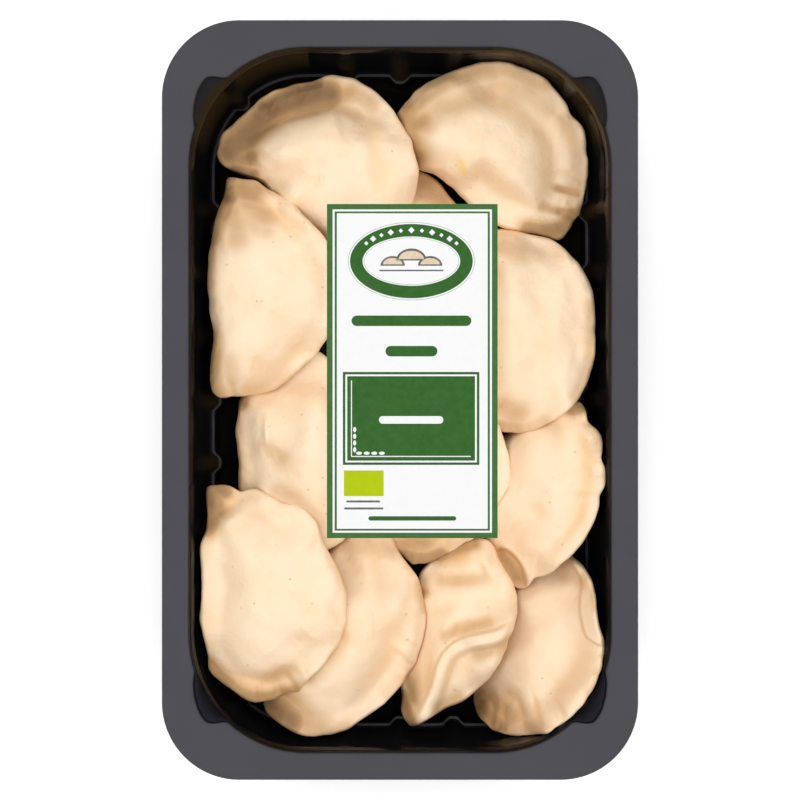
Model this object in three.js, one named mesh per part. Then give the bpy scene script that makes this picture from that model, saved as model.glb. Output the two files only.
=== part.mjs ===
// A retail pack of twelve filled half-moon dumplings in a thermoformed tray.
// A clear top film is sealed to the tray's flange, and a paper label lies on the film.
// Millimetres, +Z up. X is the pack's width, Y its length, and the origin is under its centre.
import * as THREE from 'three';

// ---------------------------------------------------------------- driving dimensions

const PACK = { width: 163, length: 260, corner: 26.5 };
const TRAY_HEIGHT = 41.5;
const SHEET = 0.8; // wall of the thermoformed tray
const FILM = 0.3; // film and its seal
const OPENING = { width: 144, length: 241, corner: 40 }; // inner edge of the flange
const LABEL = { width: 58.4, length: 114.3, thickness: 0.2, x: 4.2, y: 9.9 };

// The wall from the opening down to the floor: drop below the flange, distance in from the
// opening, how far a flute stands in from the wall there, and whether the corner pockets widen it.
const WALL = [
  { drop: 0, inset: -0.3, flute: 0, pocket: 1 },
  { drop: 1.4, inset: 0.2, flute: 0, pocket: 1 },
  { drop: 1.5, inset: 0.5, flute: 0, pocket: 0 },
  { drop: 8, inset: 2.5, flute: 0, pocket: 0 },
  { drop: 31, inset: 5.8, flute: 3.3, pocket: 0 },
  { drop: 31.4, inset: 7, flute: 3.3, pocket: 0 },
  { drop: 39.4, inset: 7.8, flute: 2.9, pocket: 0 },
  { drop: TRAY_HEIGHT - SHEET, inset: 9.6, flute: 2.2, pocket: 0 },
];

// Upright flutes that stiffen the wall: pitch and number a side, half width at foot and crest.
const FLUTE = { pitchLong: 22, countLong: 7, pitchShort: 18.6, countShort: 3, foot: 4.2, crest: 2.3 };

// Stations round one corner, in degrees from the long side's normal. Each corner has one flute
// and, beside it, a crescent pocket sunk into the flange, whose width is given in millimetres.
const CORNER = [
  { turn: 0, flute: 0, pocket: 0 },
  { turn: 9, flute: 0, pocket: 0 },
  { turn: 18, flute: 0, pocket: 0 },
  { turn: 23, flute: 0, pocket: 1.9 },
  { turn: 29, flute: 0, pocket: 3.6 },
  { turn: 35, flute: 0, pocket: 4.9 },
  { turn: 40, flute: 0, pocket: 5.2 },
  { turn: 43.5, flute: 1, pocket: 3.6 },
  { turn: 47.5, flute: 1, pocket: 0 },
  { turn: 51, flute: 0, pocket: 0 },
  { turn: 60, flute: 0, pocket: 0 },
  { turn: 70, flute: 0, pocket: 0 },
  { turn: 80, flute: 0, pocket: 0 },
  { turn: 90, flute: 0, pocket: 0 },
];
const FLOOR_FAN = new THREE.Vector2(9, 14); // where the floor's triangles meet, off its centre

// Dough: thickness of a pressed rim, how round its edge is, and clearances.
const RIM_HALF = 1.6;
const EDGE_ROUND = 1.5;
const GAP = 0.6; // air between one dumpling and what it lies on
const FEEL = { edge: 3.6, belly: 5 }; // how far round a point the shape below is felt
const WALL_FEEL = 0.7; // the same for the tray's wall
const CEILING = TRAY_HEIGHT - 0.4; // the highest that dough reaches under the film
const KEPT = 0.55; // share of its thickness that dough keeps where it is pushed up
const THINNEST = 0.35; // and the least share anywhere
const LIFT_PASSES = 4; // how far such a push spreads through the upper skin
const STEEPEST = 0.9; // rise over run of an underside where it bridges what lies below
const ANGLES = 30; // facets round a dumpling

// The dumplings, from the lowest in the pile to the highest. heart is the middle of the filling,
// lie the height of the rim's mid-plane there and tilt its rise per millimetre along X and Y.
// crown and belly are the filling's height above and below that plane. The pressed rim faces
// the rim.facing direction, in degrees from +X, for rim.span to either side, and its width is
// rim.width; the rest of the way round is the folded side. ridges are seams and folds that
// stand up: a path, half its width and its height.
const DUMPLINGS = [
  {
    name: 'dumpling_03',
    heart: [9, 45], lie: 8, tilt: [0, 0], crown: 9, belly: 6,
    rim: { facing: 100, span: 180, width: 6 },
    outline: [[7, 80], [18, 73], [28, 61], [33, 46], [31, 28], [22, 14], [8, 9], [-7, 14],
      [-15, 30], [-16, 50], [-11, 69], [-2, 79]],
    ridges: [],
  },
  {
    name: 'dumpling_12',
    heart: [50, -86], lie: 15, tilt: [0.3, -0.15], crown: 12, belly: 9,
    rim: { facing: -20, span: 110, width: 7 },
    outline: [[60, -54], [66, -61], [68, -69], [69, -79], [68.5, -88], [66, -96], [61, -104],
      [54, -110.5], [45, -115], [37, -116], [29, -113], [24, -103], [26, -93], [30, -83],
      [36, -72], [42, -63], [50, -56]],
    ridges: [
      { path: [[59, -57], [62, -64], [62, -70], [62, -77], [64, -83]], half: 3.5, height: 3 },
    ],
  },
  {
    name: 'dumpling_08',
    heart: [50, -32], lie: 22, tilt: [0.42, -0.05], crown: 10, belly: 10,
    rim: { facing: -25, span: 95, width: 8 },
    outline: [[55, -3], [61, 0], [65, -7], [70, -15], [69, -21], [71, -28], [69, -37], [65, -46],
      [57, -55], [49, -61], [43, -65], [38, -62], [33, -54], [28, -45], [26, -33], [31, -17],
      [43, -7]],
    ridges: [],
  },
  {
    name: 'dumpling_05',
    heart: [44, 24], lie: 20, tilt: [0.12, -0.03], crown: 14, belly: 11,
    rim: { facing: 0, span: 70, width: 6 },
    outline: [[34, 60], [45, 58.5], [53, 56], [61, 48], [66, 38], [68, 26], [67, 13], [63, 1],
      [55, -6], [46, -11], [35, -11], [25, -7], [19, 4], [17, 21], [19, 40], [25, 54]],
    ridges: [],
  },
  {
    name: 'dumpling_11',
    heart: [21, -82], lie: 17, tilt: [0, 0.05], crown: 13, belly: 10,
    rim: { facing: -170, span: 80, width: 5 },
    outline: [[31, -49], [34, -55], [39, -64], [41, -71], [39, -79], [36, -87], [30, -97],
      [22, -105], [11, -110], [4, -114], [1, -109], [0, -101], [0, -93], [0, -84], [1, -73],
      [4, -61], [11, -53], [20, -49]],
    ridges: [
      { path: [[4, -112], [10, -102], [11, -91], [14, -84], [19, -81], [31, -80], [39, -78]],
        half: 3.5, height: 4.5 },
    ],
  },
  {
    name: 'dumpling_02',
    heart: [31, 86], lie: 20, tilt: [0.05, 0.2], crown: 13, belly: 11,
    rim: { facing: -10, span: 95, width: 12 },
    outline: [[-1, 99], [6, 108], [14, 113], [28, 117], [39, 116.5], [50, 112], [58, 103],
      [65, 92], [66, 80], [64, 68], [56, 55.5], [46, 58], [34, 60.5], [24, 68], [12, 79],
      [1, 88]],
    ridges: [],
  },
  {
    name: 'dumpling_07',
    heart: [10, -28], lie: 22, tilt: [0, 0], crown: 14, belly: 10,
    rim: { facing: -65, span: 125, width: 6.5 },
    outline: [[33, -7], [38, -19], [39, -28], [36, -35], [30, -44], [20, -52], [10, -57],
      [3, -56], [-5, -49], [-13, -41], [-17, -28], [-15, -11], [-5, 0], [10, 4], [24, 1]],
    ridges: [],
  },
  {
    name: 'dumpling_10',
    heart: [-17, -83], lie: 20, tilt: [0, -0.14], crown: 13, belly: 10,
    rim: { facing: -80, span: 85, width: 7 },
    outline: [[-18, -47], [-10, -43], [-3, -46.5], [2, -55.5], [7, -65], [9, -75], [7, -86],
      [3, -95], [-4, -104], [-17, -114], [-31, -117], [-40, -114], [-47, -106], [-48, -90],
      [-42, -72], [-31, -55]],
    ridges: [],
  },
  {
    name: 'dumpling_01',
    heart: [-28, 83], lie: 22, tilt: [0, 0.05], crown: 14, belly: 10,
    rim: { facing: 125, span: 75, width: 10 },
    outline: [[-64, 86], [-61, 93], [-50, 103], [-37, 110], [-22, 113], [-11, 109], [-2, 100],
      [4, 89], [7, 79], [4, 66], [-5, 57], [-20, 54], [-37, 60], [-52, 73], [-62, 80]],
    ridges: [],
  },
  {
    name: 'dumpling_06',
    heart: [-36, -22], lie: 20, tilt: [0, 0], crown: 13, belly: 10,
    rim: { facing: 180, span: 80, width: 5 },
    outline: [[-54, 3], [-57, -11], [-56, -24], [-54, -38], [-45, -51], [-31, -55], [-21, -51],
      [-18.5, -38], [-18.5, -23], [-20, -7], [-26, 5], [-38, 10]],
    ridges: [],
  },
  {
    name: 'dumpling_09',
    heart: [-46, -68], lie: 29.5, tilt: [0, 0.02], crown: 9.5, belly: 9,
    rim: { facing: 190, span: 110, width: 7 },
    outline: [[-67, -30], [-58, -29], [-49, -31], [-40, -36], [-32, -38], [-27, -46],
      [-21, -56], [-18, -69], [-20, -83], [-27, -93], [-35, -101], [-44, -104], [-54, -103],
      [-61, -98], [-67, -91], [-68, -82], [-69, -72], [-68, -62], [-68.5, -51], [-66, -42]],
    ridges: [],
  },
  {
    name: 'dumpling_04',
    heart: [-45, 38], lie: 28, tilt: [0, 0], crown: 11, belly: 9,
    rim: { facing: 0, span: 75, width: 5 },
    outline: [[-61, 77], [-54, 75], [-45, 74], [-36, 67], [-27, 58], [-21, 46], [-21, 33],
      [-25, 21], [-35, 10], [-45, 3], [-55, 1], [-64, 1], [-67, 9], [-65, 24], [-67, 38],
      [-66, 55], [-63, 67]],
    ridges: [],
  },
];

// Colours and finishes.
const DOUGH = { color: 0xf6dcb8, roughness: 0.6, metalness: 0 };
const BLACK_PLASTIC = { color: 0x101012, roughness: 0.15, metalness: 0 };
const CLEAR_FILM = { color: 0xeef1f4, roughness: 0.08, metalness: 0, transparent: true, opacity: 0.2 };
const PRINTED_PAPER = { color: 0xf2f5ee, roughness: 0.5, metalness: 0 };

// ---------------------------------------------------------------- small helpers

const radians = THREE.MathUtils.degToRad;
const angleOf = (i) => -Math.PI + (i * 2 * Math.PI) / ANGLES; // of a facet round a dumpling
const lerp = THREE.MathUtils.lerp;
const clamp = THREE.MathUtils.clamp;

// A mesh from vertices and triangles, turned inside out if its faces point inwards.
function solid(name, points, triangles, finish) {
  let volume = 0;
  for (const [a, b, c] of triangles) {
    volume += points[a].dot(new THREE.Vector3().crossVectors(points[b], points[c]));
  }
  const faces = volume < 0 ? triangles.map(([a, b, c]) => [a, c, b]) : triangles;
  const geometry = new THREE.BufferGeometry().setFromPoints(points);
  geometry.setIndex(faces.flat());
  geometry.computeVertexNormals();
  const mesh = new THREE.Mesh(geometry, new THREE.MeshStandardMaterial(finish));
  mesh.name = name;
  return mesh;
}

// Triangles between two rings of equal length, and from a ring to one closing point.
function strip(triangles, first, second, count) {
  for (let i = 0; i < count; i += 1) {
    const j = (i + 1) % count;
    triangles.push([first + i, second + i, second + j], [first + i, second + j, first + j]);
  }
}

// The first ring of a row of strips is closed forwards, and the last one backwards.
function fan(triangles, ring, apex, count, forwards) {
  for (let i = 0; i < count; i += 1) {
    const j = (i + 1) % count;
    triangles.push(forwards ? [ring + i, ring + j, apex] : [ring + j, ring + i, apex]);
  }
}

// ---------------------------------------------------------------- tray

// The stations round the tray, anticlockwise from the right-hand long side. Each one can be
// placed on any rounded rectangle, so that all rings of the tray have matching points.
function trayStations() {
  const stations = [];
  const side = (normal, count, pitch, place) => {
    for (let i = 0; i < count; i += 1) {
      const middle = (i - (count - 1) / 2) * pitch;
      for (const [offset, flute] of [
        [-FLUTE.foot, 0], [-FLUTE.crest, 1], [FLUTE.crest, 1], [FLUTE.foot, 0],
      ]) {
        stations.push({ normal, flute, pocket: 0, place: place(middle + offset) });
      }
    }
  };
  const corner = (signX, signY, startAngle, longSideFirst) => {
    const turns = longSideFirst ? CORNER : [...CORNER].reverse();
    for (const { turn, flute, pocket } of turns) {
      const angle = radians(startAngle + (longSideFirst ? turn : 90 - turn));
      const normal = new THREE.Vector2(Math.cos(angle), Math.sin(angle));
      const place = (halfX, halfY, radius) => new THREE.Vector2(
        signX * (halfX - radius) + radius * normal.x,
        signY * (halfY - radius) + radius * normal.y,
      );
      stations.push({ normal, flute, pocket, place });
    }
  };
  const long = [FLUTE.countLong, FLUTE.pitchLong];
  const short = [FLUTE.countShort, FLUTE.pitchShort];
  side(new THREE.Vector2(1, 0), ...long, (s) => (halfX) => new THREE.Vector2(halfX, s));
  corner(1, 1, 0, true);
  side(new THREE.Vector2(0, 1), ...short, (s) => (halfX, halfY) => new THREE.Vector2(-s, halfY));
  corner(-1, 1, 90, false);
  side(new THREE.Vector2(-1, 0), ...long, (s) => (halfX) => new THREE.Vector2(-halfX, -s));
  corner(-1, -1, 180, true);
  side(new THREE.Vector2(0, -1), ...short, (s) => (halfX, halfY) => new THREE.Vector2(s, -halfY));
  corner(1, -1, 270, false);
  return stations;
}

// One ring of the wall at a level of WALL, moved out by the sheet's thickness for the underside.
function wallRing(stations, level, thickness) {
  return stations.map(({ normal, flute, pocket, place }) => {
    const edge = place(OPENING.width / 2, OPENING.length / 2, OPENING.corner);
    const inwards = level.inset + flute * level.flute - pocket * level.pocket - thickness;
    const height = TRAY_HEIGHT - level.drop - thickness;
    return new THREE.Vector3(edge.x - normal.x * inwards, edge.y - normal.y * inwards, height);
  });
}

function flangeRing(stations, height) {
  return stations.map(({ place }) => {
    const edge = place(PACK.width / 2, PACK.length / 2, PACK.corner);
    return new THREE.Vector3(edge.x, edge.y, height);
  });
}

function makeTray() {
  const stations = trayStations();
  const inside = WALL.map((level) => wallRing(stations, level, 0)).reverse();
  const outside = WALL.map((level) => wallRing(stations, level, SHEET));
  const flange = [flangeRing(stations, TRAY_HEIGHT), flangeRing(stations, TRAY_HEIGHT - SHEET)];
  const rings = [...inside, ...flange, ...outside];
  const count = stations.length;
  const points = rings.flat();
  const triangles = [];
  for (let i = 0; i + 1 < rings.length; i += 1) strip(triangles, i * count, (i + 1) * count, count);
  points.push(new THREE.Vector3(FLOOR_FAN.x, FLOOR_FAN.y, SHEET));
  fan(triangles, 0, points.length - 1, count, true);
  points.push(new THREE.Vector3(FLOOR_FAN.x, FLOOR_FAN.y, 0));
  fan(triangles, (rings.length - 1) * count, points.length - 1, count, false);
  return solid('tray', points, triangles, BLACK_PLASTIC);
}

// How much of a flute lies at a place on the wall, 0 to 1, with a little room at its sides.
function fluteAt(x, y) {
  const room = 2;
  const straightX = OPENING.width / 2 - OPENING.corner;
  const straightY = OPENING.length / 2 - OPENING.corner;
  const overX = Math.abs(x) - straightX;
  const overY = Math.abs(y) - straightY;
  let offset;
  if (overX > 0 && overY > 0) {
    offset = (Math.atan2(overY, overX) - radians(45.5)) * OPENING.corner;
  } else {
    const onLongSide = OPENING.width / 2 - Math.abs(x) < OPENING.length / 2 - Math.abs(y);
    const pitch = onLongSide ? FLUTE.pitchLong : FLUTE.pitchShort;
    const reach = ((onLongSide ? FLUTE.countLong : FLUTE.countShort) - 1) / 2;
    const along = (onLongSide ? y : x) / pitch;
    offset = (along - clamp(Math.round(along), -reach, reach)) * pitch;
  }
  return clamp((FLUTE.foot + room - Math.abs(offset)) / (FLUTE.foot - FLUTE.crest), 0, 1);
}

// Height of the tray's inner surface over a point, and of the flange outside the opening.
function trayHeight(x, y) {
  const overX = Math.abs(x) - (OPENING.width / 2 - OPENING.corner);
  const overY = Math.abs(y) - (OPENING.length / 2 - OPENING.corner);
  const outside = Math.hypot(Math.max(overX, 0), Math.max(overY, 0));
  const inset = OPENING.corner - outside - Math.min(Math.max(overX, overY), 0);
  const flute = fluteAt(x, y);
  const reached = WALL.map((level) => level.inset + flute * level.flute);
  if (inset <= reached[0]) return TRAY_HEIGHT;
  for (let i = 1; i < WALL.length; i += 1) {
    if (inset < reached[i]) {
      const share = (inset - reached[i - 1]) / (reached[i] - reached[i - 1]);
      return TRAY_HEIGHT - lerp(WALL[i - 1].drop, WALL[i].drop, share);
    }
  }
  return SHEET;
}

// ---------------------------------------------------------------- dumplings

// Distance from the heart to the outline at each facet angle, on a smooth closed curve.
function outlineRadii(heart, outline) {
  const corners = outline.map(([x, y]) => new THREE.Vector3(x - heart[0], y - heart[1], 0));
  const curve = new THREE.CatmullRomCurve3(corners, true, 'centripetal');
  const samples = curve.getPoints(outline.length * 12).map((p) => ({
    angle: Math.atan2(p.y, p.x), radius: Math.hypot(p.x, p.y),
  })).sort((a, b) => a.angle - b.angle);
  const radii = [];
  for (let i = 0; i < ANGLES; i += 1) {
    const angle = angleOf(i);
    const after = samples.findIndex((s) => s.angle >= angle);
    const next = samples[after < 0 ? 0 : after];
    const last = samples[after <= 0 ? samples.length - 1 : after - 1];
    const turn = 2 * Math.PI;
    const width = (next.angle - last.angle + turn) % turn || 1;
    const share = ((angle - last.angle + turn) % turn) / width;
    radii.push(lerp(last.radius, next.radius, clamp(share, 0, 1)));
  }
  return radii;
}

// 0 on the pressed rim and 1 on the folded side, at an angle in radians.
function foldShare(rim, angle) {
  const turn = Math.abs(THREE.MathUtils.euclideanModulo(
    THREE.MathUtils.radToDeg(angle) - rim.facing + 180, 360) - 180);
  return THREE.MathUtils.smoothstep(turn, rim.span, rim.span + 35);
}

// Distances in from the edge of the rings of the upper and lower skin.
function ringInsets(reach, rimWidth, fold) {
  const rest = reach - rimWidth;
  const upperRim = [1, 0.7 * rimWidth, rimWidth, rimWidth + 0.14 * rest,
    rimWidth + 0.42 * rest, rimWidth + 0.74 * rest];
  const upperFold = [0.4, 0.05 * reach, 0.13 * reach, 0.26 * reach, 0.48 * reach, 0.76 * reach];
  const lowerRim = [1.2, 0.2 * reach, 0.42 * reach, 0.72 * reach];
  const lowerFold = [1, 0.18 * reach, 0.4 * reach, 0.72 * reach];
  return {
    upper: upperRim.map((inset, i) => lerp(inset, upperFold[i], fold)),
    lower: lowerRim.map((inset, i) => lerp(inset, lowerFold[i], fold)),
  };
}

// Rise above the mid-plane, or fall below it, at a distance in from the edge.
function skin(inset, reach, rimWidth, fold, filling) {
  const edge = Math.min(inset / EDGE_ROUND, 1);
  const rimPart = RIM_HALF * Math.sqrt(1 - (1 - edge) ** 2);
  const inner = clamp((inset - rimWidth) / (reach - rimWidth), 0, 1);
  const roundness = lerp(0.85, 0.5, fold);
  return rimPart + filling * (1 - (1 - inner) ** 2) ** roundness;
}

function ridgeRise(ridges, x, y) {
  let rise = 0;
  for (const { path, half, height } of ridges) {
    let nearest = Infinity;
    for (let i = 0; i + 1 < path.length; i += 1) {
      const start = new THREE.Vector3(...path[i], 0);
      const line = new THREE.Line3(start, new THREE.Vector3(...path[i + 1], 0));
      const here = new THREE.Vector3(x, y, 0);
      const foot = line.closestPointToPoint(here, true, new THREE.Vector3());
      nearest = Math.min(nearest, foot.distanceTo(here));
    }
    rise = Math.max(rise, height * (1 - THREE.MathUtils.smoothstep(nearest, 0, 2 * half)));
  }
  return rise;
}

// Height of a finished dumpling's upper skin over a point, or -Infinity beside it.
function topAt(dumpling, x, y) {
  const { heart, radii, rings, apex } = dumpling;
  const dx = x - heart[0];
  const dy = y - heart[1];
  const turn = ((Math.atan2(dy, dx) + Math.PI) / (2 * Math.PI)) * ANGLES;
  const first = Math.floor(turn) % ANGLES;
  const second = (first + 1) % ANGLES;
  const share = turn - Math.floor(turn);
  const distance = Math.hypot(dx, dy);
  if (distance > lerp(radii[first], radii[second], share)) return -Infinity;
  let outer = { at: lerp(radii[first], radii[second], share) };
  outer.z = lerp(rings[0].z[first], rings[0].z[second], share);
  for (let i = 1; i <= rings.length; i += 1) {
    const inner = i < rings.length
      ? { at: lerp(rings[i].at[first], rings[i].at[second], share),
        z: lerp(rings[i].z[first], rings[i].z[second], share) }
      : { at: 0, z: apex };
    if (distance >= inner.at) {
      return lerp(outer.z, inner.z, (outer.at - distance) / Math.max(outer.at - inner.at, 1e-6));
    }
    outer = inner;
  }
  return apex;
}

// Height that a dumpling has to clear at a point: the tray and all that lies below it, felt
// for some way round.
function supportAt(below, x, y, feel) {
  let support = -Infinity;
  for (let i = 0; i <= 8; i += 1) {
    const reach = i === 8 ? 0 : feel;
    const px = x + reach * Math.cos((i * Math.PI) / 4);
    const py = y + reach * Math.sin((i * Math.PI) / 4);
    const heights = below.map((dumpling) => topAt(dumpling, px, py));
    const wallReach = reach ? WALL_FEEL / reach : 0;
    const wall = trayHeight(x + (px - x) * wallReach, y + (py - y) * wallReach);
    support = Math.max(support, wall, ...heights);
  }
  return support + GAP;
}

// Lifts the points of an underside that drop away from their neighbours too steeply.
function easeSlopes(rings) {
  for (let pass = 0; pass < 2; pass += 1) {
    rings.forEach(({ at, z }, ring) => {
      for (let i = 0; i < ANGLES; i += 1) {
        const sideways = STEEPEST * at[i] * ((2 * Math.PI) / ANGLES);
        const before = z[(i + ANGLES - 1) % ANGLES] - sideways;
        const after = z[(i + 1) % ANGLES] - sideways;
        const outer = rings[ring - 1];
        const outwards = outer ? outer.z[i] - STEEPEST * (outer.at[i] - at[i]) : -Infinity;
        z[i] = Math.max(z[i], before, after, outwards);
      }
    });
  }
}

// Spreads what pushes an upper skin up from below over its neighbourhood, as stiff dough does.
function spreadLift(lifts) {
  let spread = lifts;
  for (let pass = 0; pass < LIFT_PASSES; pass += 1) {
    spread = spread.map((ring, r) => ring.map((lift, i) => {
      const outer = (spread[r - 1] ?? ring)[i];
      const inner = (spread[r + 1] ?? ring)[i];
      const around = ring[(i + 1) % ANGLES] + ring[(i + ANGLES - 1) % ANGLES];
      return (2 * lift + outer + inner + around) / 6;
    }));
  }
  return spread;
}

function makeDumpling(shape, below) {
  const { name, heart, lie, tilt, crown, belly, rim, ridges } = shape;
  const radii = outlineRadii(heart, shape.outline);
  const plane = (x, y) => lie + tilt[0] * (x - heart[0]) + tilt[1] * (y - heart[1]);
  const spot = (i, distance) => [
    heart[0] + distance * Math.cos(angleOf(i)), heart[1] + distance * Math.sin(angleOf(i))];
  const floorAt = (x, y, fall, feel = FEEL.edge) => (
    Math.max(plane(x, y) - fall, supportAt(below, x, y, feel)));
  const edge = { at: radii, z: [] };
  const upper = [];
  const lower = [];
  const lifts = [];
  for (let i = 0; i < ANGLES; i += 1) {
    const fold = foldShare(rim, angleOf(i));
    const rimWidth = rim.width * (1 - fold);
    const insets = ringInsets(radii[i], rimWidth, fold);
    const rimFloor = floorAt(...spot(i, radii[i]), 0);
    edge.z.push(Math.min(rimFloor + 0.5 * RIM_HALF, CEILING - RIM_HALF));
    insets.upper.forEach((inset, ring) => {
      const place = spot(i, radii[i] - inset);
      const rise = skin(inset, radii[i], rimWidth, fold, crown);
      const fall = skin(inset, radii[i], rimWidth, fold, belly);
      const unlifted = plane(...place) + rise + ridgeRise(ridges, ...place);
      const bottom = floorAt(...place, fall);
      upper[ring] ??= { at: [], z: [], least: [] };
      upper[ring].at.push(radii[i] - inset);
      upper[ring].z.push(unlifted);
      upper[ring].least.push(bottom + THINNEST * (rise + fall));
      lifts[ring] ??= [];
      lifts[ring].push(Math.max(bottom + KEPT * (rise + fall) - unlifted, 0));
    });
    insets.lower.forEach((inset, ring) => {
      const place = spot(i, radii[i] - inset);
      const fall = skin(inset, radii[i], rimWidth, fold, belly);
      const bottom = floorAt(...place, fall, ring ? FEEL.belly : FEEL.edge);
      lower[ring] ??= { at: [], z: [] };
      lower[ring].at.push(radii[i] - inset);
      lower[ring].z.push(Math.min(bottom, CEILING - RIM_HALF));
    });
  }
  easeSlopes(lower);
  const spread = spreadLift(lifts);
  upper.forEach((ring, r) => {
    ring.z = ring.z.map((z, i) => (
      Math.min(Math.max(z + spread[r][i], ring.least[i]), CEILING)));
  });
  const middleLift = spread.at(-1).reduce((sum, lift) => sum + lift, 0) / ANGLES;
  const apex = Math.min(lie + RIM_HALF + crown + middleLift, CEILING);
  const bottom = floorAt(...heart, RIM_HALF + belly);
  return { name, heart, rings: [edge, ...upper], radii, apex, lower, bottom };
}

function dumplingMesh({ name, heart, rings, apex, lower, bottom }) {
  const points = [];
  const triangles = [];
  const ringPoints = ({ at, z }) => {
    const start = points.length;
    for (let i = 0; i < ANGLES; i += 1) {
      const angle = angleOf(i);
      points.push(new THREE.Vector3(
        heart[0] + at[i] * Math.cos(angle), heart[1] + at[i] * Math.sin(angle), z[i]));
    }
    return start;
  };
  const [edge, ...uppers] = rings;
  const upperStarts = [...uppers].reverse().map(ringPoints);
  const edgeStart = ringPoints(edge);
  const lowerStarts = lower.map(ringPoints);
  const starts = [...upperStarts, edgeStart, ...lowerStarts];
  for (let i = 0; i + 1 < starts.length; i += 1) strip(triangles, starts[i], starts[i + 1], ANGLES);
  points.push(new THREE.Vector3(heart[0], heart[1], apex));
  fan(triangles, starts[0], points.length - 1, ANGLES, true);
  points.push(new THREE.Vector3(heart[0], heart[1], bottom));
  fan(triangles, starts[starts.length - 1], points.length - 1, ANGLES, false);
  return solid(name, points, triangles, DOUGH);
}

function makeDumplings() {
  const pile = [];
  for (const shape of DUMPLINGS) pile.push(makeDumpling(shape, pile));
  return pile.map(dumplingMesh);
}

// ---------------------------------------------------------------- film and label

function plate(name, outline, thickness, height, finish) {
  const geometry = new THREE.ExtrudeGeometry(outline, {
    depth: thickness, bevelEnabled: false, curveSegments: 8,
  });
  const mesh = new THREE.Mesh(geometry, new THREE.MeshStandardMaterial(finish));
  mesh.name = name;
  mesh.position.z = height;
  return mesh;
}

function makeFilm() {
  const { width, length, corner } = PACK;
  const outline = new THREE.Shape();
  for (const [signX, signY, start] of [[1, 1, 0], [-1, 1, 90], [-1, -1, 180], [1, -1, 270]]) {
    const centreX = signX * (width / 2 - corner);
    const centreY = signY * (length / 2 - corner);
    outline.absarc(centreX, centreY, corner, radians(start), radians(start + 90), false);
  }
  outline.closePath();
  return plate('film', outline, FILM, TRAY_HEIGHT, CLEAR_FILM);
}

function makeLabel() {
  const { width, length, thickness, x, y } = LABEL;
  const outline = new THREE.Shape([
    new THREE.Vector2(x - width / 2, y - length / 2),
    new THREE.Vector2(x + width / 2, y - length / 2),
    new THREE.Vector2(x + width / 2, y + length / 2),
    new THREE.Vector2(x - width / 2, y + length / 2),
  ]);
  return plate('label', outline, thickness, TRAY_HEIGHT + FILM, PRINTED_PAPER);
}

const pack = new THREE.Group();
pack.add(makeTray(), ...makeDumplings(), makeFilm(), makeLabel());

export default pack;
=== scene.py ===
"""Looks of a sealed tray of dumplings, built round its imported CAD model.

Shapes are worked out in millimetres, +Z up, with the origin under the pack's centre, as in
the CAD model, and become metres when a mesh is made.
"""

import math

import bpy
import numpy as np
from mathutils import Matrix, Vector
from mathutils.bvhtree import BVHTree


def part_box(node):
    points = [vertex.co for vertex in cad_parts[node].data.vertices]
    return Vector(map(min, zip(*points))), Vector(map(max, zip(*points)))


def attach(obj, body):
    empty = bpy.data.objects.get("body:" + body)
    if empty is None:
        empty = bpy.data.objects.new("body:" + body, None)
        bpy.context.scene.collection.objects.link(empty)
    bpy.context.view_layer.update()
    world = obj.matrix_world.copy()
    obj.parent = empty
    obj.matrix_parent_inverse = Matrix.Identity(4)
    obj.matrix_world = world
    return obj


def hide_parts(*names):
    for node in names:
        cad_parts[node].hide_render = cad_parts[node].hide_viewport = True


MM = 0.001

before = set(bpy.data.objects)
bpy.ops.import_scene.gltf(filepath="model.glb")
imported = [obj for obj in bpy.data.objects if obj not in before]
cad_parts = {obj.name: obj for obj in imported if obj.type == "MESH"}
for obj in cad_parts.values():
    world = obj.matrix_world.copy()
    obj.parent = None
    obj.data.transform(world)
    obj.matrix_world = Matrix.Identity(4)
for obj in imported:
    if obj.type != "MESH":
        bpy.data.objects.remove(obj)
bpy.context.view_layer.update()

# ---------------------------------------------------------------- driving dimensions

PACK_CORNER = 26.5  # radius of the pack's corners
SHEET = 0.8  # the tray's wall
OPENING = (72.0, 120.5, 40.0)  # half width, half length and corner radius inside the flange
FILM_BOTTOM = 41.55
FILM_TOP = 41.76
FILM_WAVE = 0.02  # height of its faint waves
FILM_WAVE_WIDTH = 34
FILM_INSETS = [0.05, 0.3, 1.0, 4, 9, 15, 22, 30, 38, 46, 54, 62, 70, 76, 79, 80.5]
FILM_EDGE = 0.06  # how much thinner the film is at its very edge, on each side
FILM_LOOSE = (9, 24)  # how far in from the pack's edge the film starts to wave, and waves fully

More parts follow.
